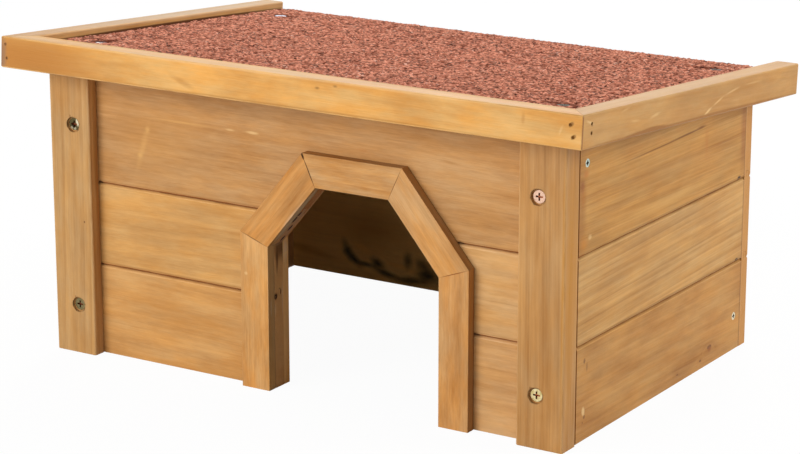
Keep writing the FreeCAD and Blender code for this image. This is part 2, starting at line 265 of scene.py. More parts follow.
# %% [markdown]
# ## What wood grain is
# A plank is cut from a log, and the log is a bundle of rings round its pith. So the grain here is solid:
# each point of a plank asks how far it lies from a pith line, and that distance, counted in ring
# widths, gives pale early wood that darkens to late wood and then starts again. The pith line runs along
# the plank, a little askew, and the rings wander. A pith close behind the face gives the tall arches of
# a flat-sawn board, a far one gives straight lines. Short flecks, softer long streaks and hair-thin
# fibres lie over them, and the honey-coloured glaze takes more or less in soft patches, with a hue that
# drifts between orange and straw. The same wood then shows lines on the faces and arcs on the sawn ends.

# %% The softwood grain group
def softwood_grain_group():
    group, given, result = new_group("softwood grain", [
        ("Vector", VECTOR, None), ("Light Wood", COLOUR, None), ("Dark Wood", COLOUR, None),
        ("Ring Spacing", FLOAT, 0.003), ("Ring Contrast", FLOAT, 0.5), ("Fibre", FLOAT, 0.5),
        ("Blotch", FLOAT, 0.5), ("Hue Drift", FLOAT, 0.6), ("Fleck Length", FLOAT, 0.01),
        ("Bend", FLOAT, 0.0), ("Seed", FLOAT, 0.0)],
        [("Color", COLOUR), ("Roughness", FLOAT), ("Height", FLOAT)])
    vector, seed = given["Vector"], given["Seed"]
    wander = stretched_noise(group, vector, (3.5, 16.0, 16.0), seed)
    ripple = stretched_noise(group, vector, (16.0, 110.0, 110.0), seed, 3.0)
    across = add(group, "VectorMath", {0: stretch(group, vector, (0.0, 1.0, 1.0))},
                 operation="LENGTH").outputs["Value"]
    moved = maths(group, "MULTIPLY_ADD", wander, 0.012, across)
    moved = maths(group, "MULTIPLY_ADD", ripple, 0.0013, moved)
    moved = maths(group, "ADD", moved, given["Bend"])
    count = maths(group, "DIVIDE", moved, given["Ring Spacing"])
    uneven = add(group, "TexNoise", {"W": maths(group, "MULTIPLY_ADD", count, 0.43, seed), "Scale": 1.0,
                                     "Detail": 1.0}, noise_dimensions="1D")
    count = maths(group, "MULTIPLY_ADD", uneven.outputs["Fac"], 1.9, count)
    share = maths(group, "FRACT", count)
    ring = add(group, "TexWhiteNoise", {"W": maths(group, "ADD", maths(group, "FLOOR", count), seed)},
               noise_dimensions="1D").outputs["Value"]
    late = maths(group, "MULTIPLY", ramp(group, share, 0.15, 0.88), ramp(group, share, 0.88, 1.0, 1.0, 0.0))
    late = maths(group, "MULTIPLY", late, maths(group, "MULTIPLY_ADD", ring, 0.75, 0.25))
    streaks = stretched_noise(group, vector, (10.0, 260.0, 260.0), seed, 3.0, 0.55)
    parts = add(group, "SeparateXYZ", {0: vector}).outputs
    fleck_place = add(group, "CombineXYZ", {
        0: maths(group, "DIVIDE", parts[0], given["Fleck Length"]),
        1: maths(group, "MULTIPLY", parts[1], 900.0),
        2: maths(group, "MULTIPLY", parts[2], 900.0)}).outputs[0]
    flecks = noise_at(group, fleck_place, seed, 2.0, 0.6)
    fibres = stretched_noise(group, vector, (45.0, 2300.0, 2300.0), seed, 2.0, 0.6)
    patches = stretched_noise(group, vector, (16.0, 46.0, 46.0), maths(group, "ADD", seed, 7.0), 5.0, 0.62)
    hue = stretched_noise(group, vector, (28.0, 115.0, 115.0), maths(group, "ADD", seed, 19.0), 4.0, 0.62)
    fine = maths(group, "ADD", ramp(group, streaks, 0.28, 0.72, -0.4, 0.4),
                 ramp(group, flecks, 0.25, 0.75, -0.34, 0.34))
    fine = maths(group, "ADD", fine, ramp(group, fibres, 0.25, 0.75, -0.2, 0.2))
    dark = maths(group, "MULTIPLY", late, given["Ring Contrast"])
    dark = maths(group, "MULTIPLY_ADD", fine, given["Fibre"], dark)
    dark = maths(group, "MULTIPLY_ADD", ramp(group, patches, 0.3, 0.7, -0.5, 0.5), given["Blotch"], dark)
    dark = maths(group, "ADD", dark, 0.3)
    colour = blend_colours(group, dark, given["Light Wood"], given["Dark Wood"])
    glaze = blend_colours(group, ramp(group, hue, 0.3, 0.7), (1.05, 0.95, 0.74), (0.96, 1.045, 1.22))
    glazed = blend_colours(group, 1.0, colour, glaze, "MULTIPLY")
    colour = blend_colours(group, given["Hue Drift"], colour, glazed)
    group.links.new(colour, result.inputs["Color"])
    group.links.new(maths(group, "MULTIPLY_ADD", fine, 0.10, 0.42), result.inputs["Roughness"])
    group.links.new(maths(group, "MULTIPLY_ADD", late, 0.6, fine), result.inputs["Height"])
    return group


SOFTWOOD_GRAIN = softwood_grain_group()
print(SOFTWOOD_GRAIN.name, "has", len(SOFTWOOD_GRAIN.nodes), "nodes")

# %% [markdown]
# ## Knots and marks
# A branch leaves a knot: a dark round core, with the rings bent round it. A mark is anything small that
# handling, glue or the saw left: a pale scuff, a dark line of resin, a chip. Both are an ellipse round
# the middle of a Mapping node that sets its place, turn and size, so distance 1 is its rim. Noise makes
# the rim ragged.

# %% The knot and mark groups
def ragged_distance(group, vector, rough, seed):
    shake = stretched_noise(group, vector, (1.7, 1.7, 1.7), seed, 3.0, 0.6)
    centre = add(group, "VectorMath", {0: vector}, operation="LENGTH").outputs["Value"]
    return maths(group, "ADD", centre, maths(group, "MULTIPLY", maths(group, "SUBTRACT", shake, 0.5), rough))


def knot_group():
    group, given, result = new_group("knot", [
        ("Vector", VECTOR, None), ("Swirl", FLOAT, 0.006), ("Core", FLOAT, 0.3), ("Seed", FLOAT, 0.0)],
        [("Bend", FLOAT), ("Core", FLOAT), ("Halo", FLOAT)])
    away = ragged_distance(group, given["Vector"], 0.5, given["Seed"])
    near = ramp(group, away, 0.0, 1.0, 1.0, 0.0)
    group.links.new(maths(group, "MULTIPLY", near, given["Swirl"]), result.inputs["Bend"])
    core = maths(group, "DIVIDE", away, given["Core"])
    group.links.new(ramp(group, core, 0.7, 1.15, 1.0, 0.0), result.inputs["Core"])
    group.links.new(maths(group, "MULTIPLY", near, near), result.inputs["Halo"])
    return group


def mark_group():
    group, given, result = new_group("mark", [
        ("Vector", VECTOR, None), ("Softness", FLOAT, 0.5), ("Rough", FLOAT, 0.5), ("Seed", FLOAT, 0.0)],
        [("Mask", FLOAT)])
    away = ragged_distance(group, given["Vector"], given["Rough"], given["Seed"])
    inner = maths(group, "SUBTRACT", 1.0, given["Softness"])
    group.links.new(ramp(group, away, inner, 1.0, 1.0, 0.0), result.inputs["Mask"])
    return group


KNOT, MARK = knot_group(), mark_group()
print("groups", KNOT.name, "and", MARK.name)

# %% [markdown]
# ## Worn edges, sawn ends and seams
# Glaze is thin on an arris, because the brush and later hands wipe it off, so edges show paler wood. A
# sawn end drinks more glaze and turns darker, and dirt and glaze settle in the line where two pieces
# meet. When a board is shaped, its rounded strips are marked with the attribute `arris`, its sawn faces
# with `sawn_end` and the strips beside a joint with `seam`. The chamfer of a V-groove that faces down is
# marked `seam` as well, for painted shade, and the one that faces up gets half of `arris`, for a painted
# highlight. This group turns the three into masks that come and go along the board.

# %% The edge wear group
def edge_wear_group():
    group, given, result = new_group("edge wear", [
        ("Vector", VECTOR, None), ("Color", COLOUR, None), ("Wear And Highlight Colour", COLOUR, None),
        ("Wear", FLOAT, 0.5), ("Sawn Shade", COLOUR, None), ("Roughness", FLOAT, 0.4),
        ("Darkening", FLOAT, 0.4), ("Seam Dirt And Shade", FLOAT, 0.8), ("Seed", FLOAT, 0.0)],
        [("Color", COLOUR), ("Roughness", FLOAT)])
    arris = add(group, "Attribute", attribute_name="arris").outputs["Fac"]
    sawn = add(group, "Attribute", attribute_name="sawn_end").outputs["Fac"]
    come_and_go = stretched_noise(group, given["Vector"], (70.0, 240.0, 240.0), given["Seed"], 3.0)
    # The arris strips turn paler: worn glaze, and a painted highlight on the up-facing groove chamfers.
    wear_and_highlight = maths(group, "MULTIPLY", arris, ramp(group, come_and_go, 0.3, 0.62, 0.25, 1.0))
    colour = blend_colours(group, maths(group, "MULTIPLY", wear_and_highlight, given["Wear"]), given["Color"],
                           given["Wear And Highlight Colour"])
    deeper = blend_colours(group, 1.0, colour, given["Sawn Shade"], "MULTIPLY")
    colour = blend_colours(group, maths(group, "MULTIPLY", sawn, given["Darkening"]), colour, deeper)
    seam = add(group, "Attribute", attribute_name="seam").outputs["Fac"]
    seam = maths(group, "MULTIPLY", seam, ramp(group, come_and_go, 0.25, 0.6, 1.0, 0.7))
    # Seam strips turn darker: dirt and glaze in the joints, and painted shade on the down-facing groove
    # chamfers.
    dirt_and_shade = blend_colours(group, 1.0, colour, (0.58, 0.32, 0.15), "MULTIPLY")
    colour = blend_colours(group, maths(group, "MULTIPLY", seam, given["Seam Dirt And Shade"]), colour, dirt_and_shade)
    group.links.new(colour, result.inputs["Color"])
    dull = maths(group, "MULTIPLY", maths(group, "MAXIMUM", sawn, seam), 0.4)
    group.links.new(maths(group, "ADD", given["Roughness"], dull, clamp=True), result.inputs["Roughness"])
    return group


EDGE_WEAR = edge_wear_group()
print("group", EDGE_WEAR.name)

# %% [markdown]
# ## A material for each board
# No two boards come from the same place in the log, so each board has its own material with its own
# pith line, ring width, tone and seed, and the same groups in all of them. The tone is the board's
# middle colour. Light and dark wood are that tone, a little up and down, and the dark is redder.

# %% The glazed softwood material
UNTURNED = (0.0, 0.0, 0.0)
GLAZE_SHINE = 0.12
PALE_SCUFF = (0.84, 0.56, 0.25)
RESIN = (0.16, 0.062, 0.018)


def tinted(tone, red, green, blue):
    return (tone[0] * red, tone[1] * green, tone[2] * blue)


def place_group(tree, group, coords, place, size, turn, inputs):
    """A group on a Mapping node whose middle, turn and half-size are given in mm and degrees."""
    mapped = add(tree, "Mapping", {
        "Vector": coords, "Location": Vector(place) * MM, "Scale": Vector(size) * MM,
        "Rotation": [math.radians(a) for a in turn]}, vector_type="TEXTURE").outputs[0]
    return add(tree, "Group", {"Vector": mapped, **inputs}, node_tree=group).outputs


def glazed_softwood(node, turn, pith, spacing, tone, seed, contrast=0.2, fibre=0.22, blotch=0.4, drift=0.6,
                    fleck=10.0, deeper=(0.72, 0.60, 0.48), knots=(), marks=(), wear=0.5, darkening=0.4,
                    seams=0.8, relief=0.0001):
    """Lengths are in mm. Each knot is (place, size, core, swirl), and each mark is (place, size, turn,
    colour, strength, softness)."""
    material, tree = new_material(node.replace("_", " "))
    coords = add(tree, "TexCoord").outputs["Object"]
    along = add(tree, "Mapping", {
        "Vector": coords, "Location": Vector(pith) * MM, "Rotation": [math.radians(a) for a in turn]},
        vector_type="TEXTURE").outputs[0]
    bend, spots = 0.0, []
    for place, size, core, swirl in knots:
        knot = place_group(tree, KNOT, coords, place, size, turn,
                           {"Swirl": swirl * MM, "Core": core, "Seed": seed})
        bend = maths(tree, "ADD", bend, knot["Bend"])
        spots.append((knot["Halo"], 0.45, tinted(tone, 0.72, 0.55, 0.40)))
        spots.append((knot["Core"], 0.85, RESIN))
    for place, size, mark_turn, colour, strength, softness in marks:
        mask = place_group(tree, MARK, coords, place, size, mark_turn, {"Softness": softness, "Seed": seed})
        spots.append((mask["Mask"], strength, colour))
    grain = add(tree, "Group", {
        "Vector": along, "Light Wood": tinted(tone, 1.14, 1.17, 1.24),
        "Dark Wood": tinted(tone, 0.62, 0.50, 0.36), "Ring Spacing": spacing * MM,
        "Ring Contrast": contrast, "Fibre": fibre, "Blotch": blotch, "Hue Drift": drift,
        "Fleck Length": fleck * MM, "Bend": bend, "Seed": seed}, node_tree=SOFTWOOD_GRAIN).outputs
    colour = grain["Color"]
    for mask, strength, spot_colour in spots:
        colour = blend_colours(tree, maths(tree, "MULTIPLY", mask, strength), colour, spot_colour)
    wear_and_highlight = add(tree, "Group", {
        "Vector": along, "Color": colour, "Roughness": grain["Roughness"], "Sawn Shade": deeper,
        "Wear And Highlight Colour": tinted(tone, 1.28, 1.42, 1.75), "Wear": wear, "Darkening": darkening,
        "Seam Dirt And Shade": seams, "Seed": seed}, node_tree=EDGE_WEAR).outputs
    finish_material(tree, {"Base Color": wear_and_highlight["Color"], "Roughness": wear_and_highlight["Roughness"],
                           "Specular IOR Level": GLAZE_SHINE}, grain["Height"], relief)
    return material


print("each board gets its own glazed softwood")

# %% [markdown]
# ## Shaping a board
# A planed board has eased arrises, never knife-sharp ones. The frame already holds each board's exact
# shape, with its tongue, groove, rebate and bores, so the board starts as a copy of that mesh. The loose
# triangles are merged, flat neighbours are dissolved into single faces, and the long arrises are
# rounded with a bevel. The edges round a sawn end or a mitre are rounded less. That is quicker and
# truer than drawing each profile again, and a bevel is what a plane and sandpaper do. Small plugs of
# filler close the nail holes of the side boards, as they are closed before glazing.

# %% Ease the arrises of a board
SHORTEST_ARRIS = 3.5 * MM
MERGED_WITHIN = 0.002 * MM
FLAT_ANGLE, SHARP_ANGLE = math.radians(0.3), math.radians(30.0)
# How closely a face looks, or an edge runs, along a direction: 1 is exactly, 0 is at right angles.
END_FACE, SAWN_FACE, LONG_EDGE, SHORT_EDGE = 0.6, 0.9, 0.995, 0.9
GROOVE_SLANT = (0.6, 0.8)
PLUG_RADIUS, PLUG_DEPTH, PLUG_SUNK = 1.0, 0.4, 0.02
ALONG = {"x": (1, 0, 0), "y": (0, 1, 0), "z": (0, 0, 1)}


def sharp_edges(shape, direction):
    """Each sharp edge with a measure of how closely it runs along the board."""
    return [(e, abs((e.verts[1].co - e.verts[0].co).normalized().dot(direction)))
            for e in shape.edges if len(e.link_faces) == 2
            and e.calc_face_angle(0.0) > SHARP_ANGLE and e.calc_length() > SHORTEST_ARRIS]


def ease(shape, edges, width, segments, mark):
    """Rounds edges and marks the new strips in one of the face layers."""
    made = bmesh.ops.bevel(shape, geom=edges, offset=width * MM, offset_type="OFFSET", segments=segments,
                           profile=0.5, affect="EDGES", clamp_overlap=True, material=-1)
    for face in made["faces"]:
        face.smooth = True
        face[mark] = 1.0


def plug_nail_holes(shape, places, matrix):
    """Closes each nail hole with a short plug that ends just under the face."""
    for place in places:
        side = math.copysign(1.0, place[0])
        plug = bmesh.ops.create_cone(shape, cap_ends=True, segments=20, radius1=PLUG_RADIUS * MM,
                                     radius2=PLUG_RADIUS * MM, depth=PLUG_DEPTH * MM)["verts"]
        bmesh.ops.rotate(shape, verts=plug, matrix=Matrix.Rotation(math.pi / 2, 3, "Y"))
        middle = Vector(place) * MM - Vector((side * (PLUG_DEPTH / 2 + PLUG_SUNK) * MM, 0, 0))
        bmesh.ops.translate(shape, verts=plug, vec=matrix @ middle)


def shape_board(node, direction, arris_width, end_width, sawn_sides=(), end_share=1.0, sharp_behind=1000.0):
    """`sawn_sides` are the ways the long sawn faces look, `end_share` is how dark the sawn ends are, and
    the arrises behind y = `sharp_behind` mm stay crisp, because they lie on the wall."""
    shape = bmesh.new()
    shape.from_mesh(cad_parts[node].data)
    bmesh.ops.remove_doubles(shape, verts=shape.verts, dist=MERGED_WITHIN)
    bmesh.ops.dissolve_limit(shape, angle_limit=FLAT_ANGLE, verts=shape.verts, edges=shape.edges)
    arris, sawn, seam = (shape.faces.layers.float.new(name) for name in ("arris", "sawn_end", "seam"))
    for face in shape.faces:
        face.smooth = False
        face[sawn] = end_share * float(abs(face.normal.dot(direction)) > END_FACE)
        if any(face.normal.dot(Vector(side)) > SAWN_FACE for side in sawn_sides):
            face[sawn] = 1.0
        # By its facing alone, the down-facing chamfer of a V-groove gets painted shade and the up-facing one
        # a painted highlight.
        if GROOVE_SLANT[0] < abs(face.normal.z) < GROOVE_SLANT[1] and abs(direction.z) < 0.1:
            face[seam] = float(face.normal.z < 0)
            face[arris] = 0.5 * float(face.normal.z > 0)
    long = [e for e, along in sharp_edges(shape, direction)
            if along > LONG_EDGE and e.verts[0].co.y < sharp_behind * MM]
    ease(shape, long, arris_width, 3, arris)
    ends = [e for e, along in sharp_edges(shape, direction) if along < SHORT_EDGE]
    ease(shape, ends, end_width, 2, seam)
    return shape


def set_board(node, direction, material, arris_width, end_width, slot="glazed_softwood", nail_holes=(),
              matrix=Matrix.Identity(4), **sawing):
    shape = shape_board(node, Vector(direction).normalized(), arris_width, end_width, **sawing)
    plug_nail_holes(shape, nail_holes, matrix)
    board = add_mesh(node + ".board", shape, material)
    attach(board, "root")
    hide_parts(node)
    return board


print("a board's arris is rounded when it is longer than", SHORTEST_ARRIS / MM, "mm")

# %% [markdown]
# ## Placing marks
# A mark on an upright face needs its place along the face, its height and its two half-sizes. The
# helpers add the rest: the distance of the face, a depth and the turn. A table of marks has one mark in
# each row, with its values in the order that its helper takes them. Two marks come again and again.
# Glaze runs into the root of each V-groove and dries brown, and a joint ends in a small dark hollow,
# whose shade is painted. Above each root, a band of painted shade covers the chamfer that faces down.

# %% Helpers for marks
# The hollow colour is painted shade for the small hole where a groove ends.
JOINT_HOLLOW = (0.040, 0.012, 0.002)
# The band colour is painted shade for the down-facing chamfer above a groove.
GROOVE_GLAZE, GROOVE_CHAMFER_SHADE = (0.24, 0.095, 0.028), (0.36, 0.15, 0.040)
BAND_RISE, BAND_HALF_HEIGHT, BAND_DEPTH = 1.1, 2.2, 3.4
JOINTS = {"bottom": (60.0,), "middle": (60.0, 115.0), "top": (115.0,)}
FRONT_FACE, SIDE_FACE, REAR_INNER = -116.3, 189.0, 117.9
GROOVE_DEPTH = 1.3
ROOT_ALONG_X, ROOT_ALONG_Y = (400.0, 1.3, 1.0), (1.4, 300.0, 1.2)
JAMB = -21.1
MARK_DEPTH = 2.0
SLOPE_X, SLOPE_Z, SLOPE_HALF_LENGTH = -3.2, 115.6, 31.0
SLOPE_RISE = math.degrees(math.atan2(137.0 - 94.2, (124.2 - 52.6) / 2))
BEIGE = (0.78, 0.58, 0.38)


def on_front(x, z, wide, high, colour, strength, softness=0.8, tilt=0.0, y=FRONT_FACE):
    """A mark on a face that looks along y. A positive tilt rises towards +x."""
    return ((x, y, z), (wide, MARK_DEPTH, high), (0.0, -tilt, 0.0), colour, strength, softness)


def on_side(y, z, wide, high, colour, strength, softness=0.8, tilt=0.0, x=SIDE_FACE):
    """A mark on a face that looks along x. A positive tilt rises towards the rear."""
    return ((x, y, z), (wide, MARK_DEPTH, high), (0.0, -tilt, 90.0), colour, strength, softness)


def on_jamb(y, z, wide, high, colour, strength, softness=0.8, tilt=0.0):
    return on_side(y, z, wide, high, colour, strength, softness, tilt, JAMB)


def on_slope(y, deep, high, colour, strength, softness=0.4):
    """A mark along the whole left slope of the doorway."""
    return ((SLOPE_X, y, SLOPE_Z), (SLOPE_HALF_LENGTH, deep, high), (0.0, -SLOPE_RISE, 0.0), colour,
            strength, softness)


def several(place_mark, rows):
    """One mark of the same kind for each row of values."""
    return [place_mark(*row) for row in rows]


def front_hollow(x, z, wide=1.4, high=1.1):
    return on_front(x, z, wide, high, JOINT_HOLLOW, 0.95, 0.5, y=FRONT_FACE + 0.7)


def side_hollow(y, z, wide=1.6, high=1.4):
    return on_side(y, z, wide, high, JOINT_HOLLOW, 0.95, 0.5, x=SIDE_FACE - 0.7)


def slope_chip(x, y, z):
    """A black chip in the plank's edge under the left slope of the doorway."""
    return on_front(x, z, 4.0, 2.2, JOINT_HOLLOW, 1.0, 0.5, 35.0, y)


def groove_glaze(node, place, size, chamfer_shade=GROOVE_CHAMFER_SHADE):
    """The brown root of each V-groove of a plank, and a band of painted shade on its upper chamfer, which
    faces down.
    """
    x, y = place
    heights = JOINTS[[part for part in node.split("_") if part in JOINTS][0]]
    wide = (max(size[0], BAND_DEPTH), max(size[1], BAND_DEPTH), BAND_HALF_HEIGHT)
    roots = [((x, y, z), size, UNTURNED, GROOVE_GLAZE, 0.7, 0.8) for z in heights]
    return [((x, y, z + BAND_RISE), wide, UNTURNED, chamfer_shade, 0.8, 0.6) for z in heights] + roots


print("joints at", JOINTS["middle"], "mm")

# %% [markdown]
# ## Front wall
# The top plank runs from batten to batten over the doorway. The two courses below it are cut in two by
# the doorway. Their grain is fine and nearly straight. The top plank carries a pale upright scuff and a
# thin pale scratch, which sit on its face, and each joint starts at a small dark hollow by the batten.

# %% Front planks
WARM, SMUDGE = (0.56, 0.27, 0.075), (0.34, 0.14, 0.03)
SCUFF = (0.78, 0.45, 0.15)
top_marks = several(on_front, (
    (-110, 150, 60, 40, WARM, 0.35, 1),
    (-150, 128, 14, 8, SMUDGE, 0.35, 1),
    (-122.4, 143.2, 3.6, 24, SCUFF, 0.26, 1, -18.3),
    (-118.2, 155.3, 3, 3.4, SCUFF, 0.38, 1),
    (-124.8, 138, 3.4, 2.2, SCUFF, 0.38, 1),
    (-90, 163.5, 32, 1.3, SCUFF, 0.4, 1),
    (-53.6, 163.5, 5, 1.1, PALE_SCUFF, 0.45, 0.9),
    (-36.5, 163.8, 6.4, 1.4, PALE_SCUFF, 0.60, 0.8),
    (106.5, 164, 10.5, 1.5, SMUDGE, 0.42, 1, -5),
    (144, 165.6, 6, 1.3, SMUDGE, 0.28, 1),
    (45, 163.3, 6.5, 1.8, (0.50, 0.19, 0.05), 0.35, 1),
)) + several(front_hollow, (
    (-157.6, 115.7, 2.2, 1.8),
    (158, 115.2),
    (113.9, 115.6, 3.4, 1.8),
)) + [slope_chip(-3.1, -115, 115.7)]
jamb_line = on_jamb(-108.2, 57, 0.9, 16, BEIGE, 0.6, 0.7)
jamb_spot = on_jamb(-115.3, 60.2, 2, 2.6, JOINT_HOLLOW, 1, 0.5)
jamb_haze = on_jamb(-112, 60, 15, 80, (0.80, 0.50, 0.24), 0.5, 0.5)
# A pale band on the underside of the left slope: painted light, as if thrown up from the floor.
slope_bounce_light = on_slope(-112, 15, 3.2, (0.60, 0.45, 0.31), 0.6)
# Dark patches and streaks near the top of the jamb, under the left slope.
JAMB_DARK_PATCH = (0.08, 0.03, 0.008)
middle_left_marks = [front_hollow(-158.9, 59.9, 2.2, 1.8), jamb_haze, jamb_line, jamb_spot]
middle_left_marks += several(on_jamb, (
    (-111.1, 62.2, 2.2, 3.2, JOINT_HOLLOW, 1, 0.5),
    (-110.5, 91, 10, 11, JAMB_DARK_PATCH, 0.75),
    (-113.6, 84, 1.8, 13, JAMB_DARK_PATCH, 0.85, 0.9),
    (-107, 87, 1.5, 12, JAMB_DARK_PATCH, 0.8, 0.9),
)) + [slope_bounce_light] + several(slope_chip, (
    (-18.5, -111.1, 97.4),
    (-11.6, -112.6, 105.6),
    (-6, -115.5, 112.3),
))
bottom_left_marks = [jamb_haze, jamb_line, jamb_spot, on_jamb(-115.8, 51.5, 1, 5, BEIGE, 0.5)]
front_grain = {
    "front_plank_top": dict(
        pith=(0, -80, 330), spacing=7.2, tone=(0.54, 0.287, 0.1062), contrast=0.14, fibre=0.34,
        turn=(0, 0.4, 0), seed=1.3, marks=top_marks),
    "front_plank_middle_left": dict(
        pith=(0, -60, -40), spacing=7.0, tone=(0.6475, 0.3503, 0.1147), contrast=0.14, turn=(0, -0.9, 0),
        seed=2.9, marks=middle_left_marks),
    "front_plank_middle_right": dict(
        pith=(0, -70, 230), spacing=7.4, tone=(0.6641, 0.378, 0.1468), contrast=0.14, turn=(0, 0.7, 0),
        seed=4.1, marks=[front_hollow(125.4, 60.5, 3.2, 1.8)]),
    "front_plank_bottom_left": dict(
        pith=(0, -75, 160), spacing=6.9, tone=(0.645, 0.34, 0.1125), contrast=0.16, turn=(0, 1.2, 0),
        seed=5.7, marks=bottom_left_marks),
    "front_plank_bottom_right": dict(
        pith=(0, -70, -60), spacing=7.1, tone=(0.6588, 0.378, 0.158), contrast=0.16, turn=(0, 0.3, 0),
        seed=6.2),
}
for node, grain in front_grain.items():
    root = groove_glaze(node, (0.0, FRONT_FACE + GROOVE_DEPTH), ROOT_ALONG_X)
    grain["marks"] = root + grain.get("marks", [])
    # The sawn ends at the doorway are darkened by glaze in the end grain, and partly as painted shade.
    material = glazed_softwood(node, darkening=0.9, deeper=(0.80, 0.70, 0.60), seams=0.65, relief=0.00007,
                               **grain)
    set_board(node, ALONG["x"], material, 0.35, 0.25)
print(len(front_grain), "front planks")

# %% [markdown]
# ## Side walls
# The side planks butt behind the front battens and stop at the rear planks. On the right side the top
# plank has a long thread of resin, the middle one shows close even rings, and the bottom one is redder,
# with a knot near the rear and a chip by the lower screw.

# %% Side planks
# The olive band is painted shade for the down-facing chamfers of the side planks.
THREAD, OLIVE_CHAMFER_SHADE = (0.17, 0.055, 0.008), (0.31, 0.15, 0.038)
side_top_marks = several(on_side, (
    (0, 146, 120, 13, (0.40, 0.185, 0.045), 0.30, 1),
    (10, 124.5, 95, 5, (0.70, 0.39, 0.12), 0.5, 1, 1),
    (-5, 161.3, 62, 0.8, THREAD, 0.75, 0.9),
    (34, 161.8, 32, 0.9, THREAD, 0.8, 0.8),
    (51.8, 162.3, 9, 1.5, (0.24, 0.08, 0.012), 0.75, 0.9),
    (60, 151, 4, 15, (0.52, 0.19, 0.04), 0.45, 1),
    (-60, 137, 40, 6, (0.34, 0.15, 0.035), 0.35, 1, 2),
    (-99.7, 164.7, 4.5, 3.6, (0.55, 0.20, 0.04), 0.7),
    (-103.6, 157.2, 2.6, 5.5, (0.42, 0.17, 0.07), 0.55),
    (-93.8, 125.3, 3, 2.4, PALE_SCUFF, 0.5),
    (-105.5, 141, 9, 60, (0.34, 0.135, 0.03), 0.6, 0.9),
    (114.5, 150, 6, 45, (0.34, 0.12, 0.035), 0.6, 0.9),
    (-104.3, 158.4, 5, 5, (0.30, 0.10, 0.025), 0.7, 1),
    (-102.5, 150, 5, 10, (0.46, 0.17, 0.03), 0.6, 1),
    (-101.4, 123, 8, 7, (0.60, 0.23, 0.03), 0.6, 1),
)) + [side_hollow(109.9, 116.6, 3.4, 2.4)]
side_bottom_marks = several(on_side, (
    (-98.3, 18.4, 2.6, 3.8, PALE_SCUFF, 0.8, 0.7, 14),
    (-97, 14.6, 2, 1.6, RESIN, 0.7, 0.7),
    (-97.7, 49.9, 1.8, 2.2, RESIN, 0.7, 0.7),
    (-94.5, 45.5, 1.6, 4, RESIN, 0.45, 0.8),
    (-99, 11.5, 0.8, 1, RESIN, 0.6, 0.6),
    (-79, 36, 14, 8, RESIN, 0.22, 1),
    (73.3, 10.4, 3.4, 2.8, (0.34, 0.115, 0.03), 0.9, 0.9),
))
side_grain = {
    "right_plank_top": dict(
        pith=(160, 0, 60), spacing=7.6, tone=(0.55, 0.278, 0.070), contrast=0.28, fleck=75.0, fibre=0.44,
        turn=(0, 1.0, 90), seed=7.9, marks=side_top_marks),
    "right_plank_middle": dict(
        pith=(150, 0, 240), spacing=5.0, tone=(0.598, 0.326, 0.103), contrast=0.26, fleck=80.0, fibre=0.36,
        turn=(0, -1.6, 90), seed=8.4, marks=[side_hollow(109.9, 61.2, 3.2, 2.2)]),
    "right_plank_bottom": dict(
        pith=(120, 0, 70), spacing=7.2, tone=(0.53, 0.26, 0.069), contrast=0.20, fleck=45.0, fibre=0.30,
        turn=(0, 1.0, 90), seed=9.2, blotch=0.6, marks=side_bottom_marks, knots=[
            ((SIDE_FACE, 72.8, 11.7), (15, 15, 7), 0.2, 6.0),
            ((SIDE_FACE, 60, 5.8), (7, 7, 4), 0.18, 2.0),
            ((SIDE_FACE, 27, 5.7), (8, 8, 4), 0.12, 2.0)]),
    "left_plank_top": dict(
        pith=(-150, 0, 250), spacing=6.3, tone=(0.58, 0.30, 0.09), contrast=0.22, turn=(0, 0.8, 90),
        seed=11.5),
    "left_plank_middle": dict(
        pith=(-140, 0, 30), spacing=5.0, tone=(0.61, 0.33, 0.10), contrast=0.22, turn=(0, -1.4, 90),
        seed=12.8, knots=[((-SIDE_FACE, -22, 88), (16, 16, 8), 0.25, 6.0)]),
    "left_plank_bottom": dict(
        pith=(-130, 0, 150), spacing=5.8, tone=(0.58, 0.29, 0.085), contrast=0.24, turn=(0, 1.1, 90),
        seed=13.1),
}
NAIL_ROWS = {"bottom": (15.0, 45.0), "middle": (72.5, 102.5), "top": (125.0, 155.0)}
NAIL_ENDS = (-98.241, 108.759)
for node, grain in side_grain.items():
    side = math.copysign(SIDE_FACE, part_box(node)[0][0])
    holes = [(side, y, z) for y in NAIL_ENDS for z in NAIL_ROWS[node.split("_")[-1]]]
    butts = [on_side(y, 60.0, wide, 300.0, GROOVE_GLAZE, strength, x=side)
             for y, wide, strength in ((-107.3, 1.0, 0.3), (117.8, 1.8, 0.6))]
    root = side - math.copysign(GROOVE_DEPTH, side)
    grooves = groove_glaze(node, (root, 0.0), ROOT_ALONG_Y, OLIVE_CHAMFER_SHADE)
    grain["marks"] = grooves + grain.get("marks", []) + butts
    set_board(node, ALONG["y"], glazed_softwood(node, seams=0.7, **grain), 0.35, 0.2, nail_holes=holes)
print(len(side_grain), "side planks")

# %% [markdown]
# ## Rear wall
# The rear planks cover the ends of the side planks. Their inner faces are painted paler than the glazed
# outside: as bare wood, and as painted light for the dim inside. Through the doorway the bottom one shows
# a large knot with the grain swirling round it.

# %% Rear planks
SWIRL, REDDISH, TAN = (0.010, 0.005, 0.002), (0.50, 0.26, 0.10), (0.90, 0.50, 0.20)
REAR_OUTER = 126.859
# The bare-wood colour of the inner faces is partly painted light.
BARE_WOOD_AND_LIGHT, REAR_ENDS = (0.98, 0.70, 0.43), (0.58, 0.275, 0.085)
BARE_AND_LIGHT_SHARE = {"rear_plank_top": 0.75, "rear_plank_middle": 0.8, "rear_plank_bottom": 0.6}


def on_rear(x, z, wide, high, colour, strength, tilt=0.0):
    """A soft mark on the inner face of the rear wall."""
    return on_front(x, z, wide, high, colour, strength, 1.0, tilt, REAR_INNER)


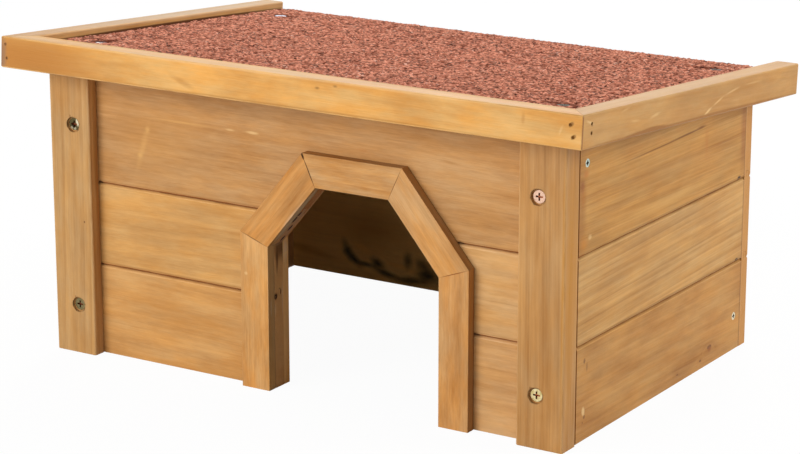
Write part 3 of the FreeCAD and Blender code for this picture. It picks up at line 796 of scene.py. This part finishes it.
swirl_marks = several(on_rear, (
    (-98, 38, 50, 26, REDDISH, 0.75),
    (-154, 14, 34, 5, REDDISH, 0.6, -8),
    (-108, 22, 12, 4, TAN, 0.4, -20),
    (-75, 13, 20, 3, TAN, 0.4, -8),
    (-120.6, 18.2, 8, 6.5, SWIRL, 0.95, -50),
    (-115.5, 13.4, 13, 5.5, SWIRL, 1, -35),
    (-105, 10.8, 14, 3.4, SWIRL, 0.85, -5),
    (-95, 12.8, 10, 6, SWIRL, 1, -22),
    (-87, 6.2, 20, 4, SWIRL, 0.95, -12),
    (-66, 4.4, 20, 5, SWIRL, 0.9, 2),
    (-69.5, 18.8, 6, 9.5, SWIRL, 0.8),
    (-53, 10, 15, 9, SWIRL, 1),
    (-57, 17, 11, 7, SWIRL, 0.75, -30),
    (-123, 23.5, 7, 5, SWIRL, 0.5, -55),
))
rear_grain = {
    "rear_plank_top": dict(
        pith=(0, 90, 300), spacing=6.4, tone=(0.60, 0.31, 0.092), contrast=0.2, turn=(0, 0.5, 0), seed=14.2),
    "rear_plank_middle": dict(
        pith=(0, 160, 190), spacing=5.0, tone=(0.64, 0.35, 0.112), contrast=0.24, turn=(0, 1.0, 0),
        seed=15.6, fibre=0.28, blotch=0.5, knots=[((88, 126, 90), (18, 8, 9), 0.25, 7.0)]),
    "rear_plank_bottom": dict(
        pith=(0, 80, 90), spacing=3.6, tone=(0.61, 0.315, 0.092), contrast=0.4, turn=(0, 0.8, 0),
        seed=16.9, fibre=0.28, blotch=0.5, marks=swirl_marks, knots=[
            ((-98, REAR_INNER, 18), (40, 22, 17), 0.05, 11.0),
            ((-55, REAR_INNER, 11), (24, 16, 11), 0.05, 7.0)]),
}
for node, grain in rear_grain.items():
    side_joint = [((x, REAR_INNER, 60.0), (3.0, 1.3, 300.0), UNTURNED, GROOVE_GLAZE, 0.6, 0.8)
                  for x in (-SIDE_FACE, SIDE_FACE)]
    side_joint.append(on_side(122.4, 90.0, 7.0, 300.0, REAR_ENDS, 0.9, 0.5))
    root = groove_glaze(node, (0.0, REAR_OUTER - GROOVE_DEPTH), ROOT_ALONG_X)
    # The pale inner face: bare wood, and painted light for the dim inside.
    bare = on_front(0.0, 90.0, 600.0, 600.0, BARE_WOOD_AND_LIGHT, BARE_AND_LIGHT_SHARE[node], 0.5, y=REAR_INNER)
    grain["marks"] = [bare] + grain.get("marks", []) + root + side_joint
    material = glazed_softwood(node, darkening=1.0, deeper=(1.0, 1.0, 0.62), seams=0.5, **grain)
    set_board(node, ALONG["x"], material, 0.35, 0.25, sawn_sides=[(0, -1, 0)], end_share=0.15)
print(len(rear_grain), "rear planks")

# %% [markdown]
# ## Battens and corner posts
# The battens are the stoutest pieces, planed on all sides, with their grain upright. Their front
# arrises are well rounded and catch the light. The posts inside are plain squared sticks.

# %% Battens and posts
UPRIGHT = (0.0, -90.0, 0.0)
BATTEN_FRONT, BATTEN_INNER_SIDE = -125.5, -159.0
SCREW_X, SCREW_HEIGHTS, RING_RADIUS = 171.5, (33.0, 154.0), 5.7
# The ring colour is painted shade in the rim of each counterbore.
COUNTERBORE_SHADE, TORN = (0.085, 0.05, 0.018), (0.20, 0.088, 0.026)


def screw_rings(x, tears):
    """The rim of each screw's counterbore is darkened with painted shade, and the drill tore a few fibres."""
    rings = [on_front(x, z, RING_RADIUS, RING_RADIUS, COUNTERBORE_SHADE, 0.8, 0.2, y=BATTEN_FRONT)
             for z in SCREW_HEIGHTS]
    return rings + [on_front(x + side, z, 0.8, 1.3, TORN, 0.6, 0.6, y=BATTEN_FRONT) for side, z in tears]


# The dark mark on the inner side of the left batten is painted shade, in its corner against the wall.
left_batten_marks = [on_front(-164.5, 90, 0.7, 1, RESIN, 0.8, 0.4, y=BATTEN_FRONT),
                     on_side(-117, 95, 6, 150, (0.33, 0.12, 0.02), 0.7, x=BATTEN_INNER_SIDE)]
right_batten_marks = [on_side(-118, 95, 14, 150, (0.55, 0.24, 0.038), 0.85, 0.6)]
batten_grain = {
    "front_batten_left": dict(
        pith=(-230, -60, 0), spacing=4.1, tone=(0.54, 0.305, 0.115), contrast=0.26, turn=(0, -90, 0.0),
        seed=21.4, fibre=0.30, marks=left_batten_marks + screw_rings(-SCREW_X, [(-2.2, 159.5), (-2.4, 38)])),
    "front_batten_right": dict(
        pith=(90, -70, 0), spacing=4.6, tone=(0.54, 0.2871, 0.1023), contrast=0.30, turn=(0, -90.4, 0.0),
        seed=22.7, fibre=0.34, marks=right_batten_marks + screw_rings(SCREW_X, [(-3.5, 37.2)])),
}
for node, grain in batten_grain.items():
    set_board(node, ALONG["z"], glazed_softwood(node, wear=0.45, fleck=50.0, **grain), 1.1, 0.35,
              sharp_behind=-115.0)
posts = [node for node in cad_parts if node.endswith("corner_post")]
for index, node in enumerate(posts):
    material = glazed_softwood(node, UPRIGHT, (40 * index, -60, 0), 3.3, (0.68, 0.45, 0.22), 24.0 + index)
    set_board(node, ALONG["z"], material, 0.8, 0.3)
print(len(batten_grain), "battens and", len(posts), "posts")

# %% [markdown]
# ## Doorway
# Five strips with mitred ends frame the doorway outside, and five more back it inside, so its edge is
# three layers thick. The grain of each strip follows its own length, which is what makes a mitre
# show. The sawn edges of a strip, towards the opening and away from it, are darker than its face: saw
# marks hold glaze and dirt, and the darkening is partly painted shade as well. A brown line of glaze
# and painted shadow runs where the strip meets the wall, and the underside of the left slope is
# painted paler, as painted light thrown up from the floor.

# %% Doorway strips
strip_turn = {"left_leg": UPRIGHT, "right_leg": UPRIGHT, "left_slope": (0, -SLOPE_RISE, 0),
              "right_slope": (0, SLOPE_RISE, 0), "top": UNTURNED}
strip_tone = {"left_leg": (0.675, 0.345, 0.1114), "right_leg": (0.66, 0.34, 0.1179),
              "left_slope": (0.585, 0.2736, 0.077), "right_slope": (0.615, 0.3208, 0.1136),
              "top": (0.61, 0.3298, 0.122)}
SLOPE_SINE, SLOPE_COSINE = math.sin(math.radians(SLOPE_RISE)), math.cos(math.radians(SLOPE_RISE))
INWARD = {"left_leg": (1, 0, 0), "right_leg": (-1, 0, 0), "top": (0, 0, -1),
          "left_slope": (SLOPE_SINE, 0, -SLOPE_COSINE), "right_slope": (-SLOPE_SINE, 0, -SLOPE_COSINE)}
TRIM_FACE = -123.4
# Grey-beige is painted light on the underside of a strip; the wall line is glaze and a painted shadow.
GREY_BEIGE, WALL_SHADOW_LINE = (0.70, 0.45, 0.25), (0.12, 0.045, 0.014)
BLACK_LINE, BROWN_LINE, RED_LINE = (0.035, 0.010, 0.001), (0.16, 0.055, 0.012), (0.26, 0.07, 0.016)


def mitre_line(x, z, half_length, half_gap, tilt, colour, strength):
    """A dark line in the face of the trim, where two strips meet."""
    return on_front(x, z, half_length, half_gap, colour, strength, 0.7, tilt, TRIM_FACE)


trim_marks = several(mitre_line, (
    (9.8, 147.5, 13, 0.5, -65, BLACK_LINE, 1),
    (5.6, 156.4, 3.4, 1.1, -65, BLACK_LINE, 1),
    (4.4, 158.2, 2.8, 1.2, 20, BLACK_LINE, 1),
    (72.2, 147.5, 12.5, 0.4, 65, BROWN_LINE, 0.7),
    (-31.6, 98, 12.5, 0.45, -20, BROWN_LINE, 0.85),
    (113.6, 98, 12.5, 0.45, 20, RED_LINE, 0.8),
)) + [
    slope_bounce_light,
    # A brown line of glaze and painted shadow where the strips meet the wall.
    ((50, -116.4, 80), (300, 1.4, 300), UNTURNED, WALL_SHADOW_LINE, 0.7, 0.8),
    on_front(-38, 74.9, 1.7, 1.5, PALE_SCUFF, 0.5, 0.7, y=TRIM_FACE),
    jamb_haze,
    on_jamb(-120.5, 54, 1.4, 8, BEIGE, 0.4),
    # Painted light from the floor on the trim's underside under the left slope.
    on_slope(-120, 3.8, 2.6, GREY_BEIGE, 0.9),
]
backing_marks = [
    jamb_haze,
    slope_bounce_light,
    on_jamb(-104.5, 88, 4.2, 10, BEIGE, 0.6),
    on_jamb(-104.2, 85.8, 4, 1.2, PALE_SCUFF, 0.7, 0.8, 17),
    on_slope(-103.8, MARK_DEPTH, 2.6, BEIGE, 0.5, 0.5),
]
# For each layer: how far back its pith lies, the shade of its sawn edges (glaze, and partly painted shade),
# and its marks.
layers = {"trim": (-40.0, (0.60, 0.60, 0.56), trim_marks),
          "backing": (-160.0, (1.0, 0.95, 0.85), backing_marks)}
for layer, (back, deeper, marks) in layers.items():
    for index, (piece, turn) in enumerate(strip_turn.items()):
        node = f"doorway_{layer}_{piece}"
        direction = Euler([math.radians(a) for a in turn]).to_matrix() @ Vector((1, 0, 0))
        material = glazed_softwood(node, turn, (120, back, 60), 5.0, strip_tone[piece],
                                   30.0 + 1.7 * index + back, contrast=0.24, fibre=0.32, drift=1.0,
                                   blotch=0.5, wear=0.2, darkening=0.9, deeper=deeper, seams=0.5, marks=marks)
        inward = Vector(INWARD[piece])
        set_board(node, direction, material, 0.5, 0.3, sawn_sides=[inward, -inward])
print("10 doorway strips, slopes at", round(SLOPE_RISE, 1), "degrees")

# %% [markdown]
# ## Roof boards
# Three boards stand on edge round the roof panel. They are yellower than the walls and the best rounded
# of all. The front one has a wavy figure and two dark specks, the right one a pale curved scratch. Their
# lower edges are darkened with painted shade, and their tops carry a pale painted sheen.

# %% Roof edge boards and panel
ROOF_PITCH = math.radians(4.45)
ROOF_TURN = (-math.degrees(ROOF_PITCH), 0.0, 0.0)
ROOF_SIDE, ROOF_FACE, ROOF_FOOT = 211.1, -147.1, 191.1
ROOF_FRONT = Matrix.Translation((0.0, -0.147141, ROOF_FOOT * MM)) @ Matrix.Rotation(-ROOF_PITCH, 4, "X")
SLOPE_Y = ROOF_FRONT.to_3x3() @ Vector((0, 1, 0))
FIGURE, ORANGE, DENT = (0.42, 0.185, 0.042), (0.54, 0.232, 0.050), (0.26, 0.12, 0.03)
# The lower-edge colour is painted shade along the bottom of the roof boards.
LOWER_EDGE_SHADE = (0.36, 0.15, 0.033)


def on_roof_side(y, z, wide, high, colour, strength, tilt=0.0, softness=0.9):
    return on_side(y, z, wide, high, colour, strength, softness, tilt, ROOF_SIDE)


def on_roof_front(x, z, wide, high, colour, strength, tilt=0.0, softness=0.9):
    """The front board leans back with the roof, so a mark higher up lies further back."""
    y = ROOF_FACE + (z - ROOF_FOOT) * math.tan(ROOF_PITCH)
    return on_front(x, z, wide, high, colour, strength, softness, tilt, y)


def along_roof(place, size, colour, strength, softness):
    """A patch that falls to the rear with the roof."""
    return (place, size, ROOF_TURN, colour, strength, softness)


roof_corner = along_roof((ROOF_SIDE, ROOF_FACE + 0.85, 202), (1.1, 1.1, 40), (0.26, 0.115, 0.05), 0.75, 0.8)
# A dark line of painted shadow along the foot of the left board's inner face, just above the felt.
felt_shadow_line = along_roof((-196, 6.1, 195), (4, 170, 1.3), (0.09, 0.02, 0.007), 0.9, 0.5)
roof_front_marks = several(on_roof_front, (
    (32.1, 205.9, 2.6, 1.2, RESIN, 0.55),
    (44.8, 208.3, 2.4, 1.1, RESIN, 0.5),
    (172.6, 205, 2, 5, ORANGE, 0.5),
    (197, 201, 5, 1.2, PALE_SCUFF, 0.35, 70),
    (-205, 198, 110, 40, ORANGE, 0.9, 0, 1),
    (-190, 198, 90, 40, (0.48, 0.195, 0.040), 0.85, 0, 1),
    (-67, 198, 15, 3, FIGURE, 0.45, -21, 1),
    (-178, 192.5, 34, 4.5, FIGURE, 0.35, -3, 1),
    (-120, 203, 30, 3.5, FIGURE, 0.30, 4, 1),
    (-30, 196, 26, 3, FIGURE, 0.22, 6, 1),
    (85, 203, 32, 3, FIGURE, 0.25, -4, 1),
    (-209.8, 198, 4.5, 30, (0.27, 0.16, 0.10), 0.7),
    (203.6, 205.2, 2.6, 1.5, DENT, 0.9, 42, 0.6),
    (205.4, 198.2, 2.6, 1.5, DENT, 0.9, 42, 0.6),
    # Painted shade along the lower edge of the front board.
    (0, 191.5, 240, 2, LOWER_EDGE_SHADE, 0.55, 0, 0.7),
# A pale cream band on the front board's top is a painted sheen.
)) + [along_roof((0, -139, 210.7), (300, 12, 2.5), (1, 0.74, 0.50), 0.28, 0.6), roof_corner]
roof_right_marks = several(on_roof_side, (
    (13.5, 182.4, 8, 1.3, PALE_SCUFF, 0.85, 17),
    (28, 186.2, 11, 1.1, PALE_SCUFF, 0.55, 12.5),
    (48, 188.9, 15, 1.1, PALE_SCUFF, 0.45, 3.5),
    (78, 188.6, 19, 1.1, PALE_SCUFF, 0.30, -4),
    # Painted shade along the lower edge of the right board and on its wane.
    (0, 180, 170, 2.6, LOWER_EDGE_SHADE, 0.85, -4.45, 0.4),
    (-68, 185.7, 32, 2.9, LOWER_EDGE_SHADE, 0.95, -3.3, 0.3),
    (-135.1, 204.1, 1.6, 1.7, DENT, 0.8, 0, 0.6),
    (-135.8, 199.3, 1.6, 1.7, DENT, 0.8, 0, 0.6),
)) + [
    # The paler top of the right board is a painted sheen.
    along_roof((203, 1, 199.8), (20, 300, 2.5), (0.62, 0.37, 0.155), 0.5, 0.8),
    roof_corner,
] + several(on_roof_side, (
    (-94.6, 204.7, 8, 1.2, PALE_SCUFF, 0.25, 4),
    (-57, 194.1, 10, 1.5, PALE_SCUFF, 0.45, 5),
    (-82, 195.6, 9, 1.3, PALE_SCUFF, 0.30, -8),
    (-44.1, 203.9, 8, 1.2, PALE_SCUFF, 0.25, -6),
    (-137.5, 205.5, 7, 1.2, PALE_SCUFF, 0.75, -22),
))
# The pale top of the left board is a painted sheen, and the dark line at its foot a painted shadow.
left_edge_marks = [along_roof((-203, 40, 196.8), (20, 240, 2.5), (0.66, 0.53, 0.38), 0.5, 0.8), felt_shadow_line]
edge_grain = {
    "roof_edge_board_front": (ALONG["x"], dict(
        pith=(0, -125, 197), spacing=6.5, tone=(0.735, 0.3902, 0.1128), contrast=0.12, blotch=0.5, drift=1.0,
        fibre=0.14, fleck=26.0, turn=(0, 1.1, 2.4), seed=41.3, wear=0.6, marks=roof_front_marks)),
    "roof_edge_board_left": (SLOPE_Y, dict(
        pith=(-190, 0, 200), spacing=6.2, tone=(0.66, 0.36, 0.13), turn=(0.0, math.degrees(ROOF_PITCH), 90.0),
        seed=42.8, marks=left_edge_marks)),
    "roof_edge_board_right": (SLOPE_Y, dict(
        pith=(196, 0, 187), spacing=6.0, tone=(0.575, 0.302, 0.0935), contrast=0.26, blotch=0.45, fibre=0.18,
        fleck=30.0, turn=(0.0, 5.6, 90.0), seed=43.6, wear=0.15, marks=roof_right_marks)),
}
NAILED_SIDES = {"roof_edge_board_left": -ROOF_SIDE, "roof_edge_board_right": ROOF_SIDE}
for node, (direction, grain) in edge_grain.items():
    holes = [(NAILED_SIDES[node], along, 8.0) for along in (146.8, 280.6) if node in NAILED_SIDES]
    set_board(node, direction, glazed_softwood(node, seams=0.3, **grain), 0.9, 0.3, nail_holes=holes,
              matrix=ROOF_FRONT)
panel = glazed_softwood("roof_panel", UNTURNED, (0, -100, 260), 4.5, (0.58, 0.33, 0.14), 47.0)
set_board("roof_panel", ALONG["x"], panel, 0.5, 0.3, slot="roof_panel_wood")
print("3 roof edge boards and the panel")

# %% [markdown]
# ## Roof felt
# Roofing felt is bitumen with crushed slate pressed into it. The eye sees the granules: brick red and
# salmon, with a few black, grey and pale ones, all sharp and uneven, with dark bitumen between them. A
# fine grid is the sheet. Each granule is one cell of a Voronoi pattern that lifts the grid's points to
# its own height, and the points in the gaps between cells stay low. The height is kept in the attribute
# `granule_height`, so the material can darken the gaps, with the bitumen's colour and painted shade.
# Round each screw the sheet is pressed down and has lost granules, and along the side boards it stops a
# little short and low, with the dark colour of the gaps, which leaves a dark line.

# %% The granule material
def granule_material():
    material, tree = new_material("mineral felt granules")
    coords = add(tree, "TexCoord").outputs["Object"]
    cells = add(tree, "TexVoronoi", {"Vector": coords, "Scale": 660.0})
    chance = add(tree, "SeparateColor", {0: cells.outputs["Color"]}).outputs
    brick = blend_colours(tree, chance[1], (0.46, 0.135, 0.077), (0.95, 0.42, 0.275))
    slate = blend_colours(tree, chance[1], (0.12, 0.034, 0.022), (0.40, 0.20, 0.145))
    clouds = stretched_noise(tree, coords, (60.0, 60.0, 60.0), 2.0, 3.0)
    limit = maths(tree, "MULTIPLY_ADD", clouds, 0.40, -0.07)
    colour = blend_colours(tree, maths(tree, "LESS_THAN", chance[0], limit), brick, slate)
    colour = blend_colours(tree, maths(tree, "GREATER_THAN", chance[2], 0.982), colour, (0.90, 0.52, 0.39))
    lift = add(tree, "Attribute", attribute_name="granule_height").outputs["Fac"]
    # The low points darken: the bitumen's colour, and painted shade between the granules.
    gap = blend_colours(tree, 1.0, colour, (0.20, 0.11, 0.08), "MULTIPLY")
    colour = blend_colours(tree, ramp(tree, lift, 0.14, 0.52), gap, colour)
    grit = stretched_noise(tree, coords, (2600.0, 2600.0, 2600.0), 5.0, 2.0)
    finish_material(tree, {"Base Color": colour, "Roughness": ramp(tree, grit, 0.3, 0.7, 0.8, 1.0),
                           "Specular IOR Level": 0.05},
                    maths(tree, "ADD", grit, cells.outputs["Distance"]), 0.0004)
    return material


GRANULES = granule_material()
print("material", GRANULES.name)

# %% Lay the felt
FELT_HALF_WIDTH = 195.4
FELT_START, FELT_END, FELT_UNDER, FELT_TOP = 18.2, 292.8, 13.05, 16.0
GRID_STEP, ROW_STRETCH = 1.05, 1.15
GRANULE_SIZE, GRANULE_RISE, GRANULE_SINK = 2.5, 1.7, 0.75
SWELL_HEIGHT, SWELL_LENGTH = 0.3, 9.0
# At the rear the felt thins out over the taper, and more so towards the right. Its front left corner lifts.
END_TAPER, END_SINK, END_SINK_RIGHT, SINK_WIDTH = 14.0, 0.7, 0.8, 260.0
CORNER_LIFT, CORNER_REACH = 0.7, 60.0
# The border is lower and stays straight, but the rear one is ragged. Inside, every point is moved a little.
BORDER_SHARE, BORDER_SINK, RAGGED, RAGGED_FROM = 0.6, 0.1, 0.6, 200.0
SHIFT_X, SHIFT_Y, CHANCE_SHARE = 0.3, 0.35, 0.5
ROOF_SCREWS = [(x, y) for x in (-170.6, 170.6) for y in (50.8, 254.6)]
SCREW_DENT, DENT_DEPTH, HEAD_HOLE, HEAD_DEPTH = 9.0, 0.7, 4.1, 1.2
LEFT_GAP, RIGHT_GAP, GAP_DEPTH = 4.0, 1.7, 1.2
# Places where granules are lost or black: middle and radius.
BARE_SPOTS = [(-169.0, 58.0, 9.0), (161.5, 51.0, 6.0), (161.0, 254.0, 9.0), (-162.0, 254.0, 6.0)]


def granule_lift(x, y):
    """From 0 in a gap to 1 on the top of the tallest granules."""
    near, places = noise.voronoi(Vector((x, y * ROW_STRETCH, 0.0)) / GRANULE_SIZE)
    tall = 0.45 + 0.55 * noise.cell(places[0] * 7.31)
    return min(1.0, max(0.0, (near[1] - near[0]) * 3.2)) * tall


def nearest(spots, x, y):
    """How far a point lies from the nearest spot, counted in the spot's own radius."""
    return min(math.hypot(x - a, y - b) / radius for a, b, radius in spots)


def lay_felt():
    rng = random.Random(12)
    shape = bmesh.new()
    columns = round(2 * FELT_HALF_WIDTH / GRID_STEP)
    rows = round((FELT_END - FELT_START) / (GRID_STEP * ROW_STRETCH))
    bmesh.ops.create_grid(shape, x_segments=columns, y_segments=rows, size=0.5)
    bmesh.ops.scale(shape, verts=shape.verts, vec=(2 * FELT_HALF_WIDTH, FELT_END - FELT_START, 1.0))
    bmesh.ops.translate(shape, verts=shape.verts, vec=(0, (FELT_START + FELT_END) / 2, FELT_TOP))
    lift_layer = shape.verts.layers.float.new("granule_height")
    border = [e for e in shape.edges if e.is_boundary]
    for point in shape.verts:
        x, y = point.co.x, point.co.y
        inside = not any(e.is_boundary for e in point.link_edges)
        lift = granule_lift(x, y) * (1.0 - CHANCE_SHARE) + rng.random() * CHANCE_SHARE
        swell = SWELL_HEIGHT * noise.noise(Vector((x, y, 0.0)) / SWELL_LENGTH)
        height = lift * GRANULE_RISE - GRANULE_SINK + swell
        thin_end = max(0.0, 1.0 - (FELT_END - y) / END_TAPER)
        height -= thin_end * (END_SINK + END_SINK_RIGHT * min(1.0, (FELT_HALF_WIDTH + x) / SINK_WIDTH))
        from_corner = math.hypot(x + FELT_HALF_WIDTH, y - FELT_START)
        height += CORNER_LIFT * max(0.0, 1.0 - from_corner / CORNER_REACH)
        dent = nearest([(a, b, SCREW_DENT) for a, b in ROOF_SCREWS], x, y)
        if dent < 1.0:
            height = height * dent - (1.0 - dent) * DENT_DEPTH
            lift *= 0.15 + 0.85 * dent
        if dent * SCREW_DENT < HEAD_HOLE:
            height, lift = -HEAD_DEPTH, 0.0
        bare = nearest(BARE_SPOTS, x, y)
        if bare < 1.0:
            lift *= 0.35 + 0.65 * bare
        if FELT_HALF_WIDTH + x < LEFT_GAP or FELT_HALF_WIDTH - x < RIGHT_GAP:
            height, lift = -GAP_DEPTH, 0.0
        if inside:
            point.co.x += rng.uniform(-SHIFT_X, SHIFT_X)
            point.co.y += rng.uniform(-SHIFT_Y, SHIFT_Y)
            point.co.z += height
        else:
            point.co.y += rng.uniform(-RAGGED, 0.0) * (y > RAGGED_FROM)
            point.co.z += height * BORDER_SHARE - BORDER_SINK
        point[lift_layer] = lift
    skirt = bmesh.ops.extrude_edge_only(shape, edges=border)
    for part in skirt["geom"]:
        if isinstance(part, bmesh.types.BMVert):
            part.co.z = FELT_UNDER
    bmesh.ops.recalc_face_normals(shape, faces=shape.faces)
    bmesh.ops.scale(shape, verts=shape.verts, vec=(MM, MM, MM))
    bmesh.ops.transform(shape, matrix=ROOF_FRONT, verts=shape.verts)
    felt = add_mesh("roof_felt.granules", shape, GRANULES)
    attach(felt, "root")
    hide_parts("roof_felt")
    return felt


print("felt with", len(lay_felt().data.polygons), "faces")

# %% [markdown]
# ## Screws and brads
# The front screws are yellow-passivated zinc, the small ones on the sides and the rear are bright zinc
# gone dull, those in the roof are darkened nearly black, partly as painted shade of the dents they sit
# in, and the brads are plain dark steel. The CAD shapes are right, so they only need their metal: a
# colour that drifts, fine scratches, and brown glaze and dirt in the low places, which are also painted
# shade there. A few small pale spots on heads are painted highlights. How low a point is comes from its
# own coordinates: the distance along the screw's axis, measured from the plane of the heads.

# %% Metal materials
# The recess colour is brown glaze and dirt, and painted shade in the low places.
RECESS_DIRT_AND_SHADE = (0.13, 0.052, 0.024)
RECESS_FROM, RECESS_TO = 0.1, 0.45


def metal(name, bright, drift, roughness, axis, face, mirrored=True, marks=(), recess_dirt_and_shade=RECESS_DIRT_AND_SHADE):
    """Each mark is (place, size, colour, strength)."""
    material, tree = new_material(name)
    coords = add(tree, "TexCoord").outputs["Object"]
    cloud = stretched_noise(tree, coords, (420.0, 420.0, 420.0), 1.0, 3.0)
    scratch = stretched_noise(tree, coords, (900.0, 900.0, 5200.0), 4.0, 2.0)
    colour = blend_colours(tree, ramp(tree, cloud, 0.35, 0.65), bright, drift)
    both_sides = add(tree, "VectorMath", {0: coords}, operation="ABSOLUTE").outputs[0]
    place = both_sides if mirrored else coords
    along = add(tree, "VectorMath", {0: place, 1: axis}, operation="DOT_PRODUCT").outputs["Value"]
    for spot, size, tint, strength in marks:
        mask = place_group(tree, MARK, coords, spot, size, UNTURNED, {"Softness": 0.5, "Seed": 3.0})["Mask"]
        colour = blend_colours(tree, maths(tree, "MULTIPLY", mask, strength), colour, tint)
    # Low places darken: glaze and dirt, and painted shade.
    low = ramp(tree, along, (face - RECESS_TO) * MM, (face - RECESS_FROM) * MM, 1.0, 0.0)
    colour = blend_colours(tree, low, colour, recess_dirt_and_shade)
    finish_material(tree, {"Base Color": colour, "Metallic": 1.0,
                           "Roughness": ramp(tree, scratch, 0.3, 0.7, roughness - 0.08, roughness + 0.1)},
                    scratch, 0.00003)
    return material


ROOF_UP = (0.0, math.sin(ROOF_PITCH), math.cos(ROOF_PITCH))
DULL, DULLER = (0.58, 0.58, 0.50), (0.36, 0.36, 0.31)
STEEL, RUSTY = (0.13, 0.055, 0.014), (0.08, 0.03, 0.008)
# The last colour is painted shade for the cross in a screw head.
PINKISH, OLIVE, CROSS_SHADE = (0.70, 0.44, 0.33), (0.11, 0.085, 0.035), (0.03, 0.02, 0.01)
# The second colour darkens the roof screws, as painted shade of their dents.
BLUISH, ZINC_IN_SHADE = (0.62, 0.64, 0.70), (0.06, 0.045, 0.05)
GREENISH, CREAM = (0.52, 0.60, 0.50), (0.80, 0.70, 0.48)
# On the upper head of the left batten, the small cream spots are painted highlights and the dark middle is
# painted shade in the cross.
batten_head_marks = [
    ((-172.4, -124, 153), (9, 4, 9.5), OLIVE, 1),
    ((-168.6, -124, 156.2), (1.8, 4, 4), CREAM, 0.9),
    ((-172, -124, 153.4), (2.6, 4, 2.6), CROSS_SHADE, 0.9),
    ((-173.6, -124, 151.4), (1.3, 3, 1.3), CREAM, 0.4),
    ((-171, -124, 151.2), (1.3, 3, 1.3), CREAM, 0.4),
    ((-172.5, -124, 32.6), (7, 4, 8), OLIVE, 0.85),
    ((171.5, -124, 154), (9, 4, 9), PINKISH, 0.9),
]
# On the roof heads, the near-black colours are painted shade of the dents, and the white spot on the front
# left head is a painted highlight.
roof_head_marks = [
    ((-170.6, 107.9, 186.8), (9, 9, 6), BLUISH, 0.9),
    ((-169.6, -97.4, 202.7), (3.4, 3, 3), (1, 0.92, 0.86), 0.95),
    ((171, -96.3, 202.8), (6, 7, 4), (0.10, 0.078, 0.055), 0.95),
    ((170.6, 107.9, 186.8), (9, 9, 6), (0.10, 0.085, 0.07), 0.9),
]
side_head_marks = [
    ((SIDE_FACE, -98, 154), (4, 30, 30), GREENISH, 0.9),
    ((SIDE_FACE, 108, 25), (4, 40, 40), CREAM, 0.9),
]
brad_marks = [((-207.6, -146.5, 200), (9, 4, 30), (0.30, 0.15, 0.06), 0.8)]
metals = {
    "front_batten_screws": metal("yellow zinc", (0.76, 0.64, 0.36), (0.56, 0.44, 0.18), 0.30, ALONG["y"],
                                 124.04, marks=batten_head_marks, recess_dirt_and_shade=(0.24, 0.088, 0.04)),
    "roof_screws": metal("dark zinc of the roof", (0.12, 0.10, 0.10), ZINC_IN_SHADE, 0.7, ROOF_UP, 194.607, False,
                         roof_head_marks),
    "side_wall_screws": metal("dull zinc", DULL, DULLER, 0.34, ALONG["x"], 188.9, marks=side_head_marks),
    "rear_wall_screws": metal("dull zinc of the rear", DULL, DULLER, 0.34, ALONG["y"], 126.76),
    "side_wall_brads": metal("brad steel", STEEL, RUSTY, 0.5, ALONG["x"], 188.5, marks=brad_marks),
}
metals["doorway_brads"] = metals["roof_edge_brads"] = metals["side_wall_brads"]
for node, material in metals.items():
    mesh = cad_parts[node].data
    mesh.materials.clear()
    mesh.materials.append(material)
print(len(metals), "groups of fasteners")
